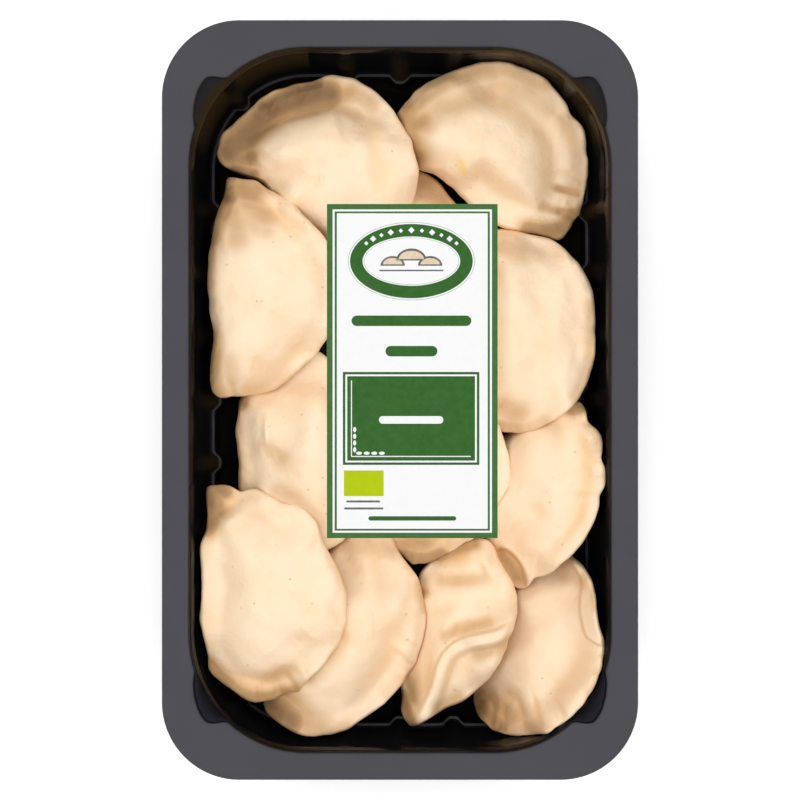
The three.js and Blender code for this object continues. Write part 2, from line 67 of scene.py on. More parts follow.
# Inner wall of the tray from the flange down: drop, distance in from the opening, how far a
# flute stands in from the wall, and how much of the corner pockets' width the level has.
WALL = [
    (0.00, -2.2, 0, 1), (0.00, -1.5, 0, 1), (0.03, -1.1, 0, 1), (0.1, -0.75, 0, 1),
    (0.22, -0.45, 0, 1), (0.42, -0.2, 0, 1), (0.7, -0.02, 0, 1), (1.2, 0.12, 0, 1),
    (1.36, 0.2, 0, 0.97), (1.42, 0.3, 0, 0.9), (1.46, 0.4, 0, 0.12), (1.5, 0.45, 0, 0.04), (1.7, 0.52, 0, 0),
    (2.3, 0.72, 0, 0), (3.2, 1.0, 0, 0), (4.0, 1.22, 0, 0), (4.3, 1.3, 0, 0),
    (4.7, 1.34, 0.1, 0), (6.5, 1.4, 0.35, 0), (9.4, 1.8, 0.6, 0), (12, 2.35, 0.8, 0),
    (17, 3.35, 1.2, 0), (22, 4.3, 1.65, 0), (27, 5.15, 2.1, 0), (30, 5.65, 2.4, 0),
    (30.7, 5.78, 2.5, 0), (30.95, 5.9, 2.5, 0), (31.05, 6.15, 2.5, 0), (31.12, 6.6, 2.5, 0),
    (31.25, 6.9, 2.5, 0), (31.6, 7.03, 2.5, 0), (34, 7.25, 2.4, 0), (38.6, 7.7, 2.3, 0),
    (39.6, 7.9, 2.2, 0), (40.2, 8.3, 2.1, 0), (40.55, 9.0, 1.9, 0), (40.7, 10.0, 1.4, 0),
]
FLOOR_INSETS = [11.5, 14, 17, 20, 22, 24, 26, 28, 31, 35, 40, 46, 52, 58, 63, 66, 68, 69.2, 70.2, 71.2]
FLUTES = {"long": (22.0, 7), "short": (18.6, 3)}  # pitch and number on a side
FLUTE_CREST = 1.1  # half width of a flute's flat crest
FLUTE_FOOT = 4.1
CORNER_FLUTE = 45.5  # degrees from the long side's normal
LEDGE = (30.9, 31.2)  # between which drops the wall has its narrow ledge, with a painted pale highlight
LIP = 4.0  # drop at which the wall turns steep between the flutes
POCKET_FLOOR = (1.3, 1.44)  # between which drops a corner pocket has its flat floor
POCKET = [(18, 0), (23, 1.9), (29, 3.6), (35, 4.9), (39, 5.3), (42, 4.9), (44, 3.2), (46, 1.0), (47.5, 0)]
STATION = 1.25  # length of a face along the rim
RIBS = [(-1.5, 1.0)]  # shallow ribs along the floor: x and height
RIB_HALF = 2.6
RIB_END = (108, 100)  # along the pack, where the ribs have ended and where they start to
FLANGE = [(-1.0, 0), (-0.5, 0), (-0.2, 0), (-0.06, 0.06), (0, 0.2), (0, 0.6),
          (-0.1, SHEET), (-0.6, SHEET)]  # rings over its edge: how far out, and drop
SEAL_WIDTH = 0.9  # over which the seal's grey ends inside the flange
LIP_START = 0.42  # drop below which the lip has its painted olive reflection
LIP_REFLECTION = (0.15, 0.35)  # how strong the lip's painted olive reflection is all round, and how much more in the corners
# how strong the painted olive reflection on the flutes gets towards their lower ends
FLUTE_REFLECTION = 0.9
LEAST_CORNER = 0.02  # radius of the innermost rings' corners
CORNER_TURN = (4, 20)  # degrees from a straight side over which a corner gets its painted reflection
LIT_END = (-100, -10)  # along the pack, where the painted olive reflection, kept to the lit side, starts and is full

# ---------------------------------------------------------------- small helpers


def smooth(low, high, value):
    """0 below low and 1 above high, with a smooth rise between."""
    t = np.clip((value - low) / (high - low), 0, 1)
    return t * t * (3 - 2 * t)


def make_piece(name, points, faces, materials, face_materials=None, attributes=None):
    """A smooth-shaded mesh object from points in millimetres."""
    mesh = bpy.data.meshes.new(name)
    mesh.from_pydata((np.asarray(points) * MM).tolist(), [], [tuple(f) for f in faces])
    for material in materials:
        mesh.materials.append(material)
    if face_materials is not None:
        mesh.polygons.foreach_set("material_index", np.asarray(face_materials, np.int32))
    mesh.polygons.foreach_set("use_smooth", np.ones(len(mesh.polygons), bool))
    for label, values in (attributes or {}).items():
        layer = mesh.attributes.new(label, "FLOAT", "POINT")
        layer.data.foreach_set("value", np.asarray(values, np.float32))
    mesh.update()
    piece = bpy.data.objects.new(name, mesh)
    bpy.context.scene.collection.objects.link(piece)
    return piece


def place(piece, slot, *nodes):
    """The piece rides on the pack and stands for the CAD nodes, which it hides; slot is not used."""
    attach(piece, "root")
    if nodes:
        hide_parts(*nodes)
    return piece


def ring_faces(first, second, count):
    """Quads from an inner to an outer closed ring of points, given by their first point. The
    rings run anticlockwise, and the quads face up."""
    step = np.arange(count)
    after = (step + 1) % count
    return np.stack([first + step, second + step, second + after, first + after], 1).tolist()


def random_field(rng, scale, count=22):
    """A smooth random height over x and y, of about 1, whose bumps are about scale wide."""
    turn = rng.uniform(0, 2 * math.pi, count)
    rate = 2 * math.pi / (scale * rng.uniform(1.0, 2.6, count))
    phase = rng.uniform(0, 2 * math.pi, count)

    def field(x, y):
        total = np.zeros_like(x)
        for a, k, p in zip(turn, rate, phase):
            total += np.sin(k * (x * math.cos(a) + y * math.sin(a)) + p)
        return total / math.sqrt(count)

    return field


# ---------------------------------------------------------------- materials


def shader(name):
    material = bpy.data.materials.new(name)
    material.use_nodes = True
    return material, material.node_tree, material.node_tree.nodes["Principled BSDF"]


def feed(tree, node, inputs):
    """Links each input that is given a socket, and sets each that is given a value."""
    for key, value in inputs.items():
        if isinstance(value, bpy.types.NodeSocket):
            tree.links.new(value, node.inputs[key])
        else:
            node.inputs[key].default_value = value


def add(tree, kind, inputs=None, **settings):
    node = tree.nodes.new(kind)
    for key, value in settings.items():
        setattr(node, key, value)
    feed(tree, node, inputs or {})
    return node


def maths(tree, operation, *values):
    return add(tree, "ShaderNodeMath", dict(enumerate(values)), operation=operation).outputs[0]


def object_space(tree):
    return add(tree, "ShaderNodeTexCoord").outputs["Object"]


def noise(tree, scale, detail=3.0, roughness=0.5):
    """Noise in the object's own space; scale is in features a metre."""
    return add(tree, "ShaderNodeTexNoise", {
        "Vector": object_space(tree), "Scale": scale, "Detail": detail, "Roughness": roughness,
    }).outputs["Fac"]


def ramp(tree, factor, stops):
    node = add(tree, "ShaderNodeValToRGB", {"Fac": factor})
    elements = node.color_ramp.elements
    while len(elements) < len(stops):
        elements.new(0.5)
    for element, (position, color) in zip(elements, stops):
        element.position = position
        element.color = (*color, 1)
    return node.outputs["Color"]


def level(tree, factor, low, high, start, end):
    """Maps a factor from low..high to start..end."""
    return add(tree, "ShaderNodeMapRange", {
        "Value": factor, "From Min": low, "From Max": high, "To Min": start, "To Max": end,
    }).outputs["Result"]


def mix(tree, factor, first, second):
    """From the first to the second colour, each a socket or its red, green and blue."""
    first, second = (color if isinstance(color, bpy.types.NodeSocket) else (*color, 1)
                     for color in (first, second))
    return add(tree, "ShaderNodeMix", {0: factor, 6: first, 7: second},
               data_type="RGBA").outputs[2]


def bump(tree, heights):
    """Bumps of several heights, each given as factor and depth in metres, one on another."""
    below = {}
    for factor, depth in heights:
        node = add(tree, "ShaderNodeBump",
                   {"Height": factor, "Strength": 1.0, "Distance": depth, **below})
        below = {"Normal": node.outputs["Normal"]}
    return below["Normal"]


def vertex_value(tree, label):
    return add(tree, "ShaderNodeAttribute", attribute_name=label).outputs["Fac"]


DOUGH_TONES = [(0.30, (0.93, 0.69, 0.455)), (0.47, (0.95, 0.735, 0.51)), (0.68, (0.96, 0.755, 0.54))]
STAIN_YELLOW = (0.93, 0.62, 0.14)
# painted shade: the brown of folds, valleys, leaning skin and the underside
SHADE_BROWN = (0.87, 0.515, 0.215)
SPECK_BROWN = (0.60, 0.36, 0.17)
THIN_AND_SHADE_AMBER = (0.60, 0.36, 0.165)  # thin dough, half way to the black below it, and painted shade in low parts and under edges
THIN_AND_SHADE_DEEP = (0.19, 0.104, 0.045)
# painted shade where the dough lies low between what stands round it
NOOK_SHADE_BROWN = (0.66, 0.37, 0.15)


def specks(tree):
    """Small dots, each in a cell of its own, of which some cells have none."""
    cells = add(tree, "ShaderNodeTexVoronoi", {"Vector": object_space(tree), "Scale": 230.0})
    chosen = level(tree, cells.outputs["Color"], 0.4, 0.65, 0.0, 0.6)
    dot = level(tree, cells.outputs["Distance"], 0.06, 0.13, 1.0, 0.0)
    return maths(tree, "MULTIPLY", dot, chosen)


def dough_material():
    material, tree, bsdf = shader("dough")
    color = ramp(tree, noise(tree, 70, detail=4, roughness=0.55), DOUGH_TONES)
    color = mix(tree, vertex_value(tree, "stain"), color, STAIN_YELLOW)
    # Painted shade: browner in folds and valleys and where the skin leans away from facing up.
    color = mix(tree, vertex_value(tree, "lean_and_fold_shade"), color, SHADE_BROWN)
    color = mix(tree, specks(tree), color, SPECK_BROWN)
    # thin: darker where the dough has no filling over the black tray, and painted shade in low parts, at
    # contacts and under overhanging edges.
    patchy = level(tree, noise(tree, 110), 0.35, 0.65, 0.88, 1.02)
    thin = maths(tree, "MULTIPLY", vertex_value(tree, "thin"), patchy)
    color = mix(tree, level(tree, thin, 0.0, 0.5, 0.0, 1.0), color, THIN_AND_SHADE_AMBER)
    color = mix(tree, level(tree, thin, 0.4, 1.0, 0.0, 1.0), color, THIN_AND_SHADE_DEEP)
    feed(tree, bsdf, {
        # painted shade where the dough lies low between what stands round it
        "Base Color": mix(tree, vertex_value(tree, "nook_shade"), color, NOOK_SHADE_BROWN),
        "Roughness": level(tree, noise(tree, 240), 0.3, 0.7, 0.46, 0.62),
        "Specular IOR Level": 0.3,
        "Normal": bump(tree, [(noise(tree, 210, roughness=0.55), 0.00034),
                              (noise(tree, 800, roughness=0.6), 0.00018)]),
    })
    return material


def tray_material():
    """Glossy black sheet: satin grey where the film is sealed to it, blue-black in the pockets,
    with a painted olive reflection on the corner walls and flutes and a painted pale highlight
    along the ledge."""
    material, tree, bsdf = shader("tray_black")
    seal, pocket = vertex_value(tree, "seal"), vertex_value(tree, "pocket")
    gloss = ramp(tree, noise(tree, 90), [
        (0.35, (0.0035, 0.0035, 0.004)), (0.7, (0.0065, 0.0062, 0.007)),
    ])
    satin = ramp(tree, noise(tree, 45, detail=5, roughness=0.6), [
        (0.3, (0.068, 0.066, 0.076)), (0.7, (0.074, 0.072, 0.082)),
    ])
    shaded = ramp(tree, noise(tree, 160), [
        (0.3, (0.014, 0.014, 0.019)), (0.7, (0.019, 0.019, 0.026)),
    ])
    # Painted reflection: olive on the corner walls, lip and flutes, on the lit side only.
    color = mix(tree, vertex_value(tree, "olive_reflection"), gloss, (0.046, 0.030, 0.010))
    # Painted highlight: a pale line along the ledge.
    color = mix(tree, vertex_value(tree, "line"), color, (0.075, 0.072, 0.088))
    uneven = level(tree, noise(tree, 160, detail=5), 0.3, 0.7, 0.09, 0.17)
    feed(tree, bsdf, {
        "Base Color": mix(tree, seal, mix(tree, pocket, color, shaded), satin),
        "Roughness": maths(tree, "MULTIPLY_ADD", seal, 0.45, uneven),
        "Specular IOR Level": 0.08,
        "Normal": bump(tree, [(noise(tree, 130, detail=2), 0.00006), (noise(tree, 2200), 0.000004)]),
    })
    return material


def film_material():
    """Clear from above, with a sheen that grows towards a glancing view."""
    material, tree, bsdf = shader("film_clear")
    feed(tree, bsdf, {
        "Base Color": ramp(tree, noise(tree, 30), [
            (0.3, (0.86, 0.88, 0.90)), (0.7, (0.95, 0.96, 0.98)),
        ]),
        "Roughness": level(tree, noise(tree, 120), 0.3, 0.7, 0.05, 0.12),
        "Metallic": 1.0,
        "Normal": bump(tree, [(noise(tree, 25, detail=1), 0.0003)]),
    })
    facing = add(tree, "ShaderNodeLayerWeight", {"Blend": 0.5}).outputs["Facing"]
    sheen = level(tree, maths(tree, "POWER", facing, 4.0), 0, 1, 0.008, 0.35)
    clear = add(tree, "ShaderNodeBsdfTransparent").outputs[0]
    both = add(tree, "ShaderNodeMixShader", {0: sheen, 1: clear, 2: bsdf.outputs[0]})
    feed(tree, tree.nodes["Material Output"], {"Surface": both.outputs[0]})
    return material


def print_material(name, dark, light, roughness=0.42):
    """Printed or bare paper: two close tones in a fine mottle."""
    material, tree, bsdf = shader(name)
    feed(tree, bsdf, {
        "Base Color": ramp(tree, noise(tree, 420, detail=5, roughness=0.7),
                           [(0.36, dark), (0.66, light)]),
        "Roughness": level(tree, noise(tree, 900), 0.3, 0.7, roughness, roughness + 0.12),
        "Specular IOR Level": 0.15,
        "Normal": bump(tree, [(noise(tree, 1500), 0.000012)]),
    })
    return material


# ---------------------------------------------------------------- dumplings

ANGLES = 300  # faces round a dumpling
RINGS = 84  # rings of its upper skin
RING_CROWDING = 1.45  # above 1 its rings lie closer together towards the edge
LOWER_STEP = 4  # its underside has a ring for each so many of the upper skin
OUTLINE_STEP = 0.5  # pitch of an outline's points
OUTLINE_ROUNDING = 1.1
GRID = 1.0  # pitch of the height maps
MAP_MARGIN = 6  # how far a solid's height map runs past it
ABOVE, BELOW = 99, -9  # heights from which rays are cast down and up
SURE = 2.4  # thickness from which a CAD solid's heights are taken as they are
BLUR = 1.5
TOP_LIMIT = 41.3  # height that the dough stays below, as the film is over it
TOP_ROOM = 1.2  # how far its middle stays below that
SPREAD = 20  # faces of the edge over which a bend of it fades out
EDGE_RINGS = 8  # rings that count as the edge where it bends
SAG_LIMIT = 7.0  # gaps from which an edge stays up in the air
SAG_REACH = 11.0  # how far in from the edge a dumpling bends down
BEND_REACH = 0.85  # how far in it bends up, as a share of the way to its heart
WALL_GAP = 0.35
PULL_IN = 3.0  # how far at most an edge is drawn in
PULL_TRIES = 25
BEND_UP = 4.0  # how far an edge may bend up over the wall
RIM_LIMIT = 38.5  # height that an edge stays below when it bends up
LEAST_SKIN = 0.05  # how far the upper side stays above the underside
EDGE_ROUND = (1.5, 3.4)  # least and greatest rounding of the edge
EDGE_ROUND_SHARE = 0.75  # its rounding as a share of half the thickness
OUTLINE_WAVES = (4.5, 0.13)  # width and height of the outline's small waves
FLUTTER = (9, 0.4)  # width and height of the edge's waves up and down
SKIN_BUMPS = ((15, 0.32), (6.5, 0.14), (2.8, 0.045))  # widths and heights of the skin's bumps
EDGE_BUMPS = (3.6, 0.14)
NEAR_EDGE = 9  # how far in from the edge it waves and has its own bumps
PLEAT_BITE = 0.4  # share of a pleat's depth that it cuts into the outline
PLEAT_START = 0.8  # how far in from the edge a pleat has its full depth
PLEAT_COUNT = 60  # pleats drawn for a stretch, more than fit in one
PLEAT_PITCHES = (0.6, 1.5)  # least and greatest share of the given pitch
PLEAT_STRENGTHS = (0.4, 1.0)
PLEAT_WIDTHS = (0.7, 1.5)
PLEAT_FADE = 8  # degrees over which a crimped stretch starts and ends
STROKE_END = 0.35  # how high a fold is at its ends, as a share of its height
STROKE_RUN = 0.3  # share of its path over which it gets there
FLAP_RUN = 0.1
FLAP_FADE = 1.9  # where a flap's far side has gone, in its widths
RAISED = 0.1  # bend up from which an edge doesn't sag as well
FOLD_SHADE_DEPTH = 3.0  # depth at which a fold gets its full painted shade
FOLD_SHADE_MOST = 0.5
SHADE_SLOPE = 0.42  # how much painted shade, browner, the dough gets as it leans away from facing up
# The underside's points get some painted shade, and no thin dough or stain colour.
UNDERSIDE_TINTS = np.array([0.3, 0.0, 0.0])
NOOK_REACHES = (1.6, 3.2, 6.0)  # how far round a point its surroundings are looked at
NOOK_TURNS = 12
NOOK_STEEPEST = 2.2
NOOK_RANGE = (0.6, 2.6)
FIRST_SEED = 99

STACK = [3, 12, 8, 5, 11, 2, 7, 10, 1, 6, 9, 4]  # numbers of the dumplings, lowest first

# Outlines of the dumplings from above, either way round. heart is the middle of the filling.
# strokes are soft folds, valleys and bumps: half width, height and path. flaps are folded-over
# parts to the left of a path: width, height, softness of the step and path. thin is dough with
# no filling, which looks darker over the black tray, and also painted shade in low parts, at
# contacts and under overhanging edges: half width, strength and path. puffs swell the upper
# side and lifts raise both sides: half width, height and path. stains are yellow marks: half
# width, strength and path. pleats crimp the edge between two directions, in degrees: from, to,
# pitch, depth and length.
DUMPLINGS = [
    {
        "node": "dumpling_01", "heart": (-28, 83),
        "outline": [
            (-64.1, 86.0), (-61.7, 93.0), (-55.8, 98.2), (-50.2, 103.4), (-44.3, 107.6),
            (-37.3, 109.5), (-29.3, 111.1), (-25.8, 112.8), (-22.0, 113.2), (-16.1, 111.8),
            (-10.8, 109.0), (-5.6, 104.6), (-1.8, 99.9), (1.7, 93.7), (4.1, 89.5), (6.6, 79.7),
            (5.9, 73.5), (4, 66), (-5, 57), (-20, 54), (-37, 60), (-46.7, 74.5), (-50.2, 76.9),
            (-54.2, 78.0), (-58.2, 79.4), (-62.8, 82.5),
        ],
        "strokes": [
            (3.0, -2.0, [(-57, 88.2), (-52.4, 91.4), (-47.7, 95), (-42.1, 97.8), (-36.5, 99.4),
                         (-29.9, 100.3), (-23.8, 102.2), (-20.1, 105.5)]),
            (3.2, -1.0, [(-14.9, 101.4), (-11, 95.5), (-7.5, 86.4), (-7, 76), (-6.4, 68)]),
            (1.1, 0.7, [(-36.5, 107.5), (-39.5, 101.5)]),
            (1.1, -0.7, [(-33.5, 108), (-35.5, 101.5)]),
            (1.0, 0.6, [(-43, 104.5), (-45, 99.5)]),
            (1.2, -0.6, [(-46, 102.5), (-47.5, 98.5)]),
            (1.2, 0.4, [(-49, 99), (-46, 96)]),
            (1.6, -0.6, [(-22, 107), (-14, 104)]),
            (2.2, -1.0, [(-54, 87), (-51.6, 80)]),
            (0.8, 0.6, [(-28.2, 73.1), (-26.8, 75.5), (-27.5, 78.3)]),
            (1.5, -0.5, [(-30.4, 73), (-29.4, 77)]),
        ],
        "flaps": [(9.0, 0.9, 1.6, [(-21, 101.5), (-29.9, 98.9), (-36.5, 98), (-42.1, 96.2),
                                   (-47.7, 93), (-52.4, 89)])],
        "thin": [
            (5.6, 0.95, [(-49, 98), (-43.5, 101.5), (-38, 104), (-32, 105.4), (-25, 106.5)]),
            (6.6, 0.9, [(-59.5, 87), (-56, 90), (-52, 94.5), (-47, 99)]),
            (3.2, 1.0, [(-48, 101), (-42, 104.5), (-35, 107.5), (-28, 109)]),
            (5.0, 0.66, [(-58, 86), (-52.5, 84)]),
            (4.2, 0.44, [(-24, 105.5), (-17, 107)]),
            (3.0, 0.3, [(-21, 101), (-15, 99)]),
            (2.2, 0.36, [(-55, 86.5), (-50, 92), (-43, 96.4), (-36, 98.6), (-29, 100)]),
            (3.4, 0.38, [(-27, 107), (-18.7, 108), (-12.5, 105), (-9.5, 102)]),
            (3.4, 0.9, [(-58, 79.4), (-51.5, 77.6)]),
            (3.0, 0.5, [(-50, 76.5), (-48, 75)]),
        ],
        "puffs": [(4.5, 2.6, [(-52, 80), (-45, 76), (-38, 70)])],
        "lifts": [(8, 3.0, [(-4, 62), (3, 72), (6, 84)])],
        "pleats": [(60, 150, 8, 0.3, 9)],
    },
    {
        "node": "dumpling_02", "heart": (31, 86),
        "outline": [
            (-1.1, 99.8), (6.2, 108.5), (13.9, 112.6), (21.2, 115.4), (28.1, 117.2), (34.0, 117.5),
            (39.3, 116.5), (44.5, 114.7), (50.0, 111.9), (54.2, 107.8), (57.7, 103.2),
            (59.4, 99.2), (62.9, 96.3), (64.7, 92.5), (64.8, 87.6), (65.7, 80.8), (65.0, 74.4),
            (63.6, 68.1), (62.9, 64.6), (60.5, 62.2), (58.7, 58.4), (55.3, 55.2), (51.3, 57.0),
            (45.5, 58.0), (39.6, 58.7), (34.0, 60.5), (24.3, 68.1), (22.6, 69.9), (19.4, 73.0),
            (16.0, 76.1), (12.1, 78.9), (5.9, 80.6), (1, 88), (-1, 94),
        ],
        "strokes": [
            (3.5, -1.0, [(8.3, 96.6), (13.8, 100.8), (20.8, 103.6), (26.3, 105.2), (34.6, 103.4),
                         (41.6, 98.7), (48.5, 93.2), (51.3, 88.3), (51.9, 80.7), (49.9, 72.4),
                         (48.5, 64.1)]),
            (1.5, -0.7, [(43.5, 109.5), (48.5, 107.5)]),
            (1.3, -0.6, [(52.5, 101), (57, 98)]),
            (1.2, -0.5, [(31, 110), (34, 106)]),
            (1.0, -1.5, [(53.4, 74.2), (58, 73), (65, 71.6)]),
            (2.4, 0.8, [(56, 68.4), (63, 68)]),
            (1.1, -1.4, [(53.4, 65.8), (58, 65.2), (63, 63.4)]),
            (1.0, -0.8, [(54, 79.5), (61, 78.5)]),
            (0.7, 0.6, [(57.9, 98.7), (58.4, 97.2)]),
        ],
        "flaps": [],
        "thin": [
            (4.6, 0.44, [(2.5, 97), (8.5, 105), (16, 110.5), (24, 113.6), (32, 114.4)]),
            (6.0, 0.32, [(6, 98), (13, 101), (22, 102)]),
            (5.0, 0.52, [(3, 101), (4, 95), (8, 96)]),
            (4.6, 0.3, [(38, 107), (45, 106.5), (50.5, 102)]),
            (3.6, 0.4, [(33, 115), (40, 113.5), (50, 109)]),
            (4.4, 0.26, [(9.4, 99), (17, 104), (25, 104.5), (33, 108), (42, 111), (50, 108)]),
            (4.6, 0.5, [(0.5, 97.9), (3.8, 91.8), (6.6, 85.2)]),
            (3.0, 0.3, [(57, 97), (61, 88), (62, 79), (61.5, 71)]),
            (4.2, 0.75, [(61, 64), (57, 59.6), (51, 58), (45, 59)]),
            (3.6, 0.3, [(60, 74), (60, 66)]),
            (2.6, 0.4, [(6, 101), (2, 97)]),
            (1.6, 0.48, [(54.7, 73.8), (62.3, 71.8)]),
            (2.0, 0.45, [(50, 67), (60, 64.8)]),
        ],
        "pleats": [(-60, 30, 7, 0.4, 9)],
        "puffs": [(12, 4.2, [(15, 86), (25, 79), (34, 73), (44, 68)])],
        "stains": [(1.5, 0.55, [(21.2, 81.5), (21.8, 78.6)]), (1.6, 0.25, [(33.5, 110.5), (36, 109)])],
    },
    {
        "node": "dumpling_03", "heart": (9, 45),
        "outline": [
            (2, 80.5), (7.6, 80.3), (13.3, 76.8), (17.1, 72), (19.8, 68.4), (25, 61), (30, 47),
            (30, 28), (22, 14), (8, 9), (-7, 14), (-15, 30), (-16, 50), (-11, 69), (-4, 78),
        ],
        "strokes": [(2.4, -0.6, [(4, 77), (10, 70)])],
        "flaps": [],
        "lifts": [(13, 8.0, [(2, 76), (10, 72), (18, 64)])],
        "thin": [(8.0, 0.5, [(4, 80), (11, 76), (17, 70)])],
        "pleats": [(0, 120, 8, 0.3, 8)],
    },
    {
        "node": "dumpling_04", "heart": (-45, 38),
        "outline": [
            (-60.1, 77.3), (-53.7, 76.3), (-49.8, 76.3), (-46.3, 73.5), (-37.0, 68.3),
            (-33.2, 63.5), (-27.7, 58.3), (-25.6, 55.9), (-21, 46), (-21, 33), (-25.2, 21.0),
            (-29.0, 15.8), (-35.3, 10.3), (-39.7, 6.2), (-43.2, 3.7), (-48.4, 2.0), (-54.6, 1.3),
            (-57.7, 1.3), (-60.1, 0.6), (-62.9, 0.6), (-65.3, 3.1), (-66.0, 7.2), (-65.3, 16.2),
            (-64.3, 22.4), (-64.8, 25.8), (-66.0, 31.0), (-66.7, 38.3), (-66.3, 49.3),
            (-65.3, 55.9), (-63.9, 63.1), (-60.5, 71.8),
        ],
        "strokes": [
            (1.7, 1.1, [(-52.5, 75), (-48.5, 73.5), (-45, 70.2), (-40.1, 66.8), (-34, 62),
                        (-28.2, 55.6)]),
            (2.6, -1.2, [(-56, 70), (-50.5, 70), (-46, 66.6), (-41, 62.6), (-36, 58.4), (-31, 53)]),
            (3.0, -0.7, [(-62, 66), (-56, 62), (-51, 63)]),
            (0.9, 0.4, [(-31.6, 53.5), (-31.5, 53)]),
            (0.9, 0.4, [(-29.6, 50.8), (-29.5, 50.3)]),
            (0.8, 0.3, [(-30.6, 48.6), (-30.5, 48.2)]),
            (3.2, -1.1, [(-51.5, 12.6), (-46, 11)]),
            (2.4, -0.7, [(-36, 20), (-33, 15)]),
            (1.0, -0.8, [(-57.5, 6.5), (-58.5, 1)]),
            (0.9, -0.6, [(-53, 6), (-53.4, 1)]),
        ],
        "flaps": [],
        "thin": [
            (4.4, 1.0, [(-60.5, 75), (-60.0, 70)]),
            (4.6, 0.68, [(-60, 70), (-61.5, 64)]),
            (4.6, 0.56, [(-61.5, 64), (-64, 56)]),
            (5.5, 0.56, [(-57, 73), (-50, 71.5)]),
            (5.5, 0.38, [(-57.5, 65), (-56, 56)]),
            (4.6, 0.38, [(-55, 69), (-51, 65), (-47, 63)]),
            (5.0, 0.3, [(-54, 64), (-50, 60)]),
            (3.2, 0.4, [(-64, 56), (-66, 50), (-66.6, 40)]),
            (3.0, 0.25, [(-56, 66), (-52, 61), (-46, 58)]),
            (4.2, 0.5, [(-64.6, 22), (-63.8, 14), (-64.8, 6), (-63, 2)]),
            (4.0, 0.3, [(-59, 13), (-58, 7)]),
            (3.0, 0.2, [(-60, 3), (-53, 3), (-45, 4.5), (-38, 8)]),
        ],
        "lifts": [(9, 5.5, [(-31, 60), (-26, 46), (-25, 30)])],
        "pleats": [(220, 275, 5, 0.5, 7)],
    },
    {
        "node": "dumpling_05", "heart": (44, 24),
        "outline": [
            (34.3, 60.2), (52.6, 56.4), (55.0, 54.6), (58.5, 50.8), (62.5, 47.0), (65.5, 41.1),
            (67.2, 36.9), (67.6, 27.5), (67.4, 18.4), (66.9, 12.3), (64.8, 6.2), (61.6, -0.1),
            (58.8, -2.8), (55.0, -6.3), (50.1, -9.1), (45.6, -10.9), (41.1, -11.6), (35.5, -11.2),
            (25, -7), (19, 4), (17, 21), (19, 40), (25, 54),
        ],
        "strokes": [
            (3.6, -0.6, [(48, 38), (50.2, 23), (49.4, 10)]),
            (2.4, -1.0, [(34.4, -2.1), (35.5, -3)]),
            (0.7, 0.5, [(57.4, 49.8), (59.1, 46.6)]),
            (0.7, 0.4, [(56.2, 51.4), (58.4, 50.3)]),
        ],
        "flaps": [],
        "thin": [
            (3.6, 0.12, [(35, 52), (42, 51), (50, 51)]),
            (2.6, 0.3, [(66, 33), (66.6, 22), (65, 11), (60.5, 1)]),
            (2.8, 0.45, [(34, -8.4), (41, -9.8)]),
            (2.6, 0.3, [(42, -9.8), (46, -9), (50, -7.4)]),
            (4.4, 0.34, [(36, 53), (41, 50.5)]),
            (5.0, 0.4, [(35, -2), (40, -5)]),
            (3.4, 0.24, [(33.5, 46), (34, 26), (33.5, 4)]),
            (2.0, 0.3, [(33, -3), (37, -3.4)]),
        ],
        "puffs": [(7, 2.5, [(58, 44), (58, 26), (55, 8)])],
        "lifts": [(9, 7.0, [(60, 46), (67, 38), (69, 24), (65, 8), (58, -2)]),
                  (9, 3.0, [(42, 52), (36, 46), (33, 30), (34, 14)])],
        "pleats": [(-70, 60, 9, 0.25, 8)],
    },
    {
        "node": "dumpling_06", "heart": (-36, -22),
        "outline": [
            (-54, 3), (-56.1, 0.3), (-56.8, -6.3), (-57.5, -10.9), (-56.8, -16.1), (-56.1, -22.0),
            (-56.5, -27.9), (-56.1, -32.1), (-54, -38), (-45, -51), (-31, -55), (-23.4, -51.3),
            (-18.5, -48.3), (-18.5, -38), (-18, -23), (-18, -7), (-20, 6), (-24, 14), (-28.6, 17.5),
            (-33, 15.5), (-42, 11),
        ],
        "strokes": [
            (0.7, 0.5, [(-46.3, -4.7), (-46.6, -10.4), (-46.4, -14.8)]),
            (1.4, -0.3, [(-48.2, -5), (-48.4, -14)]),
            (2.8, -0.9, [(-48.8, -16.5), (-44, -18), (-38.6, -21)]),
            (4.0, 0.5, [(-53, -8), (-53, -20), (-52, -30)]),
        ],
        "flaps": [],
        "lifts": [(10, 4.5, [(-26, -2), (-25, -14), (-27, -26)])],
        "puffs": [(6, 2.0, [(-51, -4), (-51.5, -16), (-51, -30)])],
        "thin": [
            (3.4, 0.9, [(-56, 4), (-55.5, -1)]),
            (2.4, 0.35, [(-56.6, -2), (-57, -12), (-56, -22), (-55.8, -30)]),
            (3.0, 0.2, [(-48, -16.5), (-40, -20)]),
            (3.0, 0.3, [(-42, -31), (-34, -36), (-28, -42)]),
        ],
        "pleats": [(140, 220, 7, 0.3, 6)],
    },
    {
        "node": "dumpling_07", "heart": (10, -28),
        "outline": [
            (34.2, -8.1), (36.1, -12.9), (37.9, -19.7), (38.6, -25.1), (37.9, -30.0),
            (36.1, -33.1), (34.2, -35.5), (30, -44), (25.7, -48.4), (20.1, -51.5), (15.6, -54.3),
            (9.7, -56.7), (4.1, -57.4), (-3.2, -50.2), (-13, -41), (-17, -28), (-15, -11), (-5, 0),
            (10, 4), (24, 1),
        ],
        "strokes": [(3.0, -0.8, [(2, -50), (12, -51), (22, -46)])],
        "flaps": [],
        "thin": [(4.0, 0.7, [(1, -54.5), (8, -56), (14, -54.5)]), (5.0, 0.5, [(-2, -50), (8, -51)]),
                 (3.4, 0.24, [(13, -54), (24, -48.5)])],
        "pleats": [(-110, -20, 4.2, 0.7, 6)],
    },
    {
        "node": "dumpling_08", "heart": (50, -32),
        "outline": [
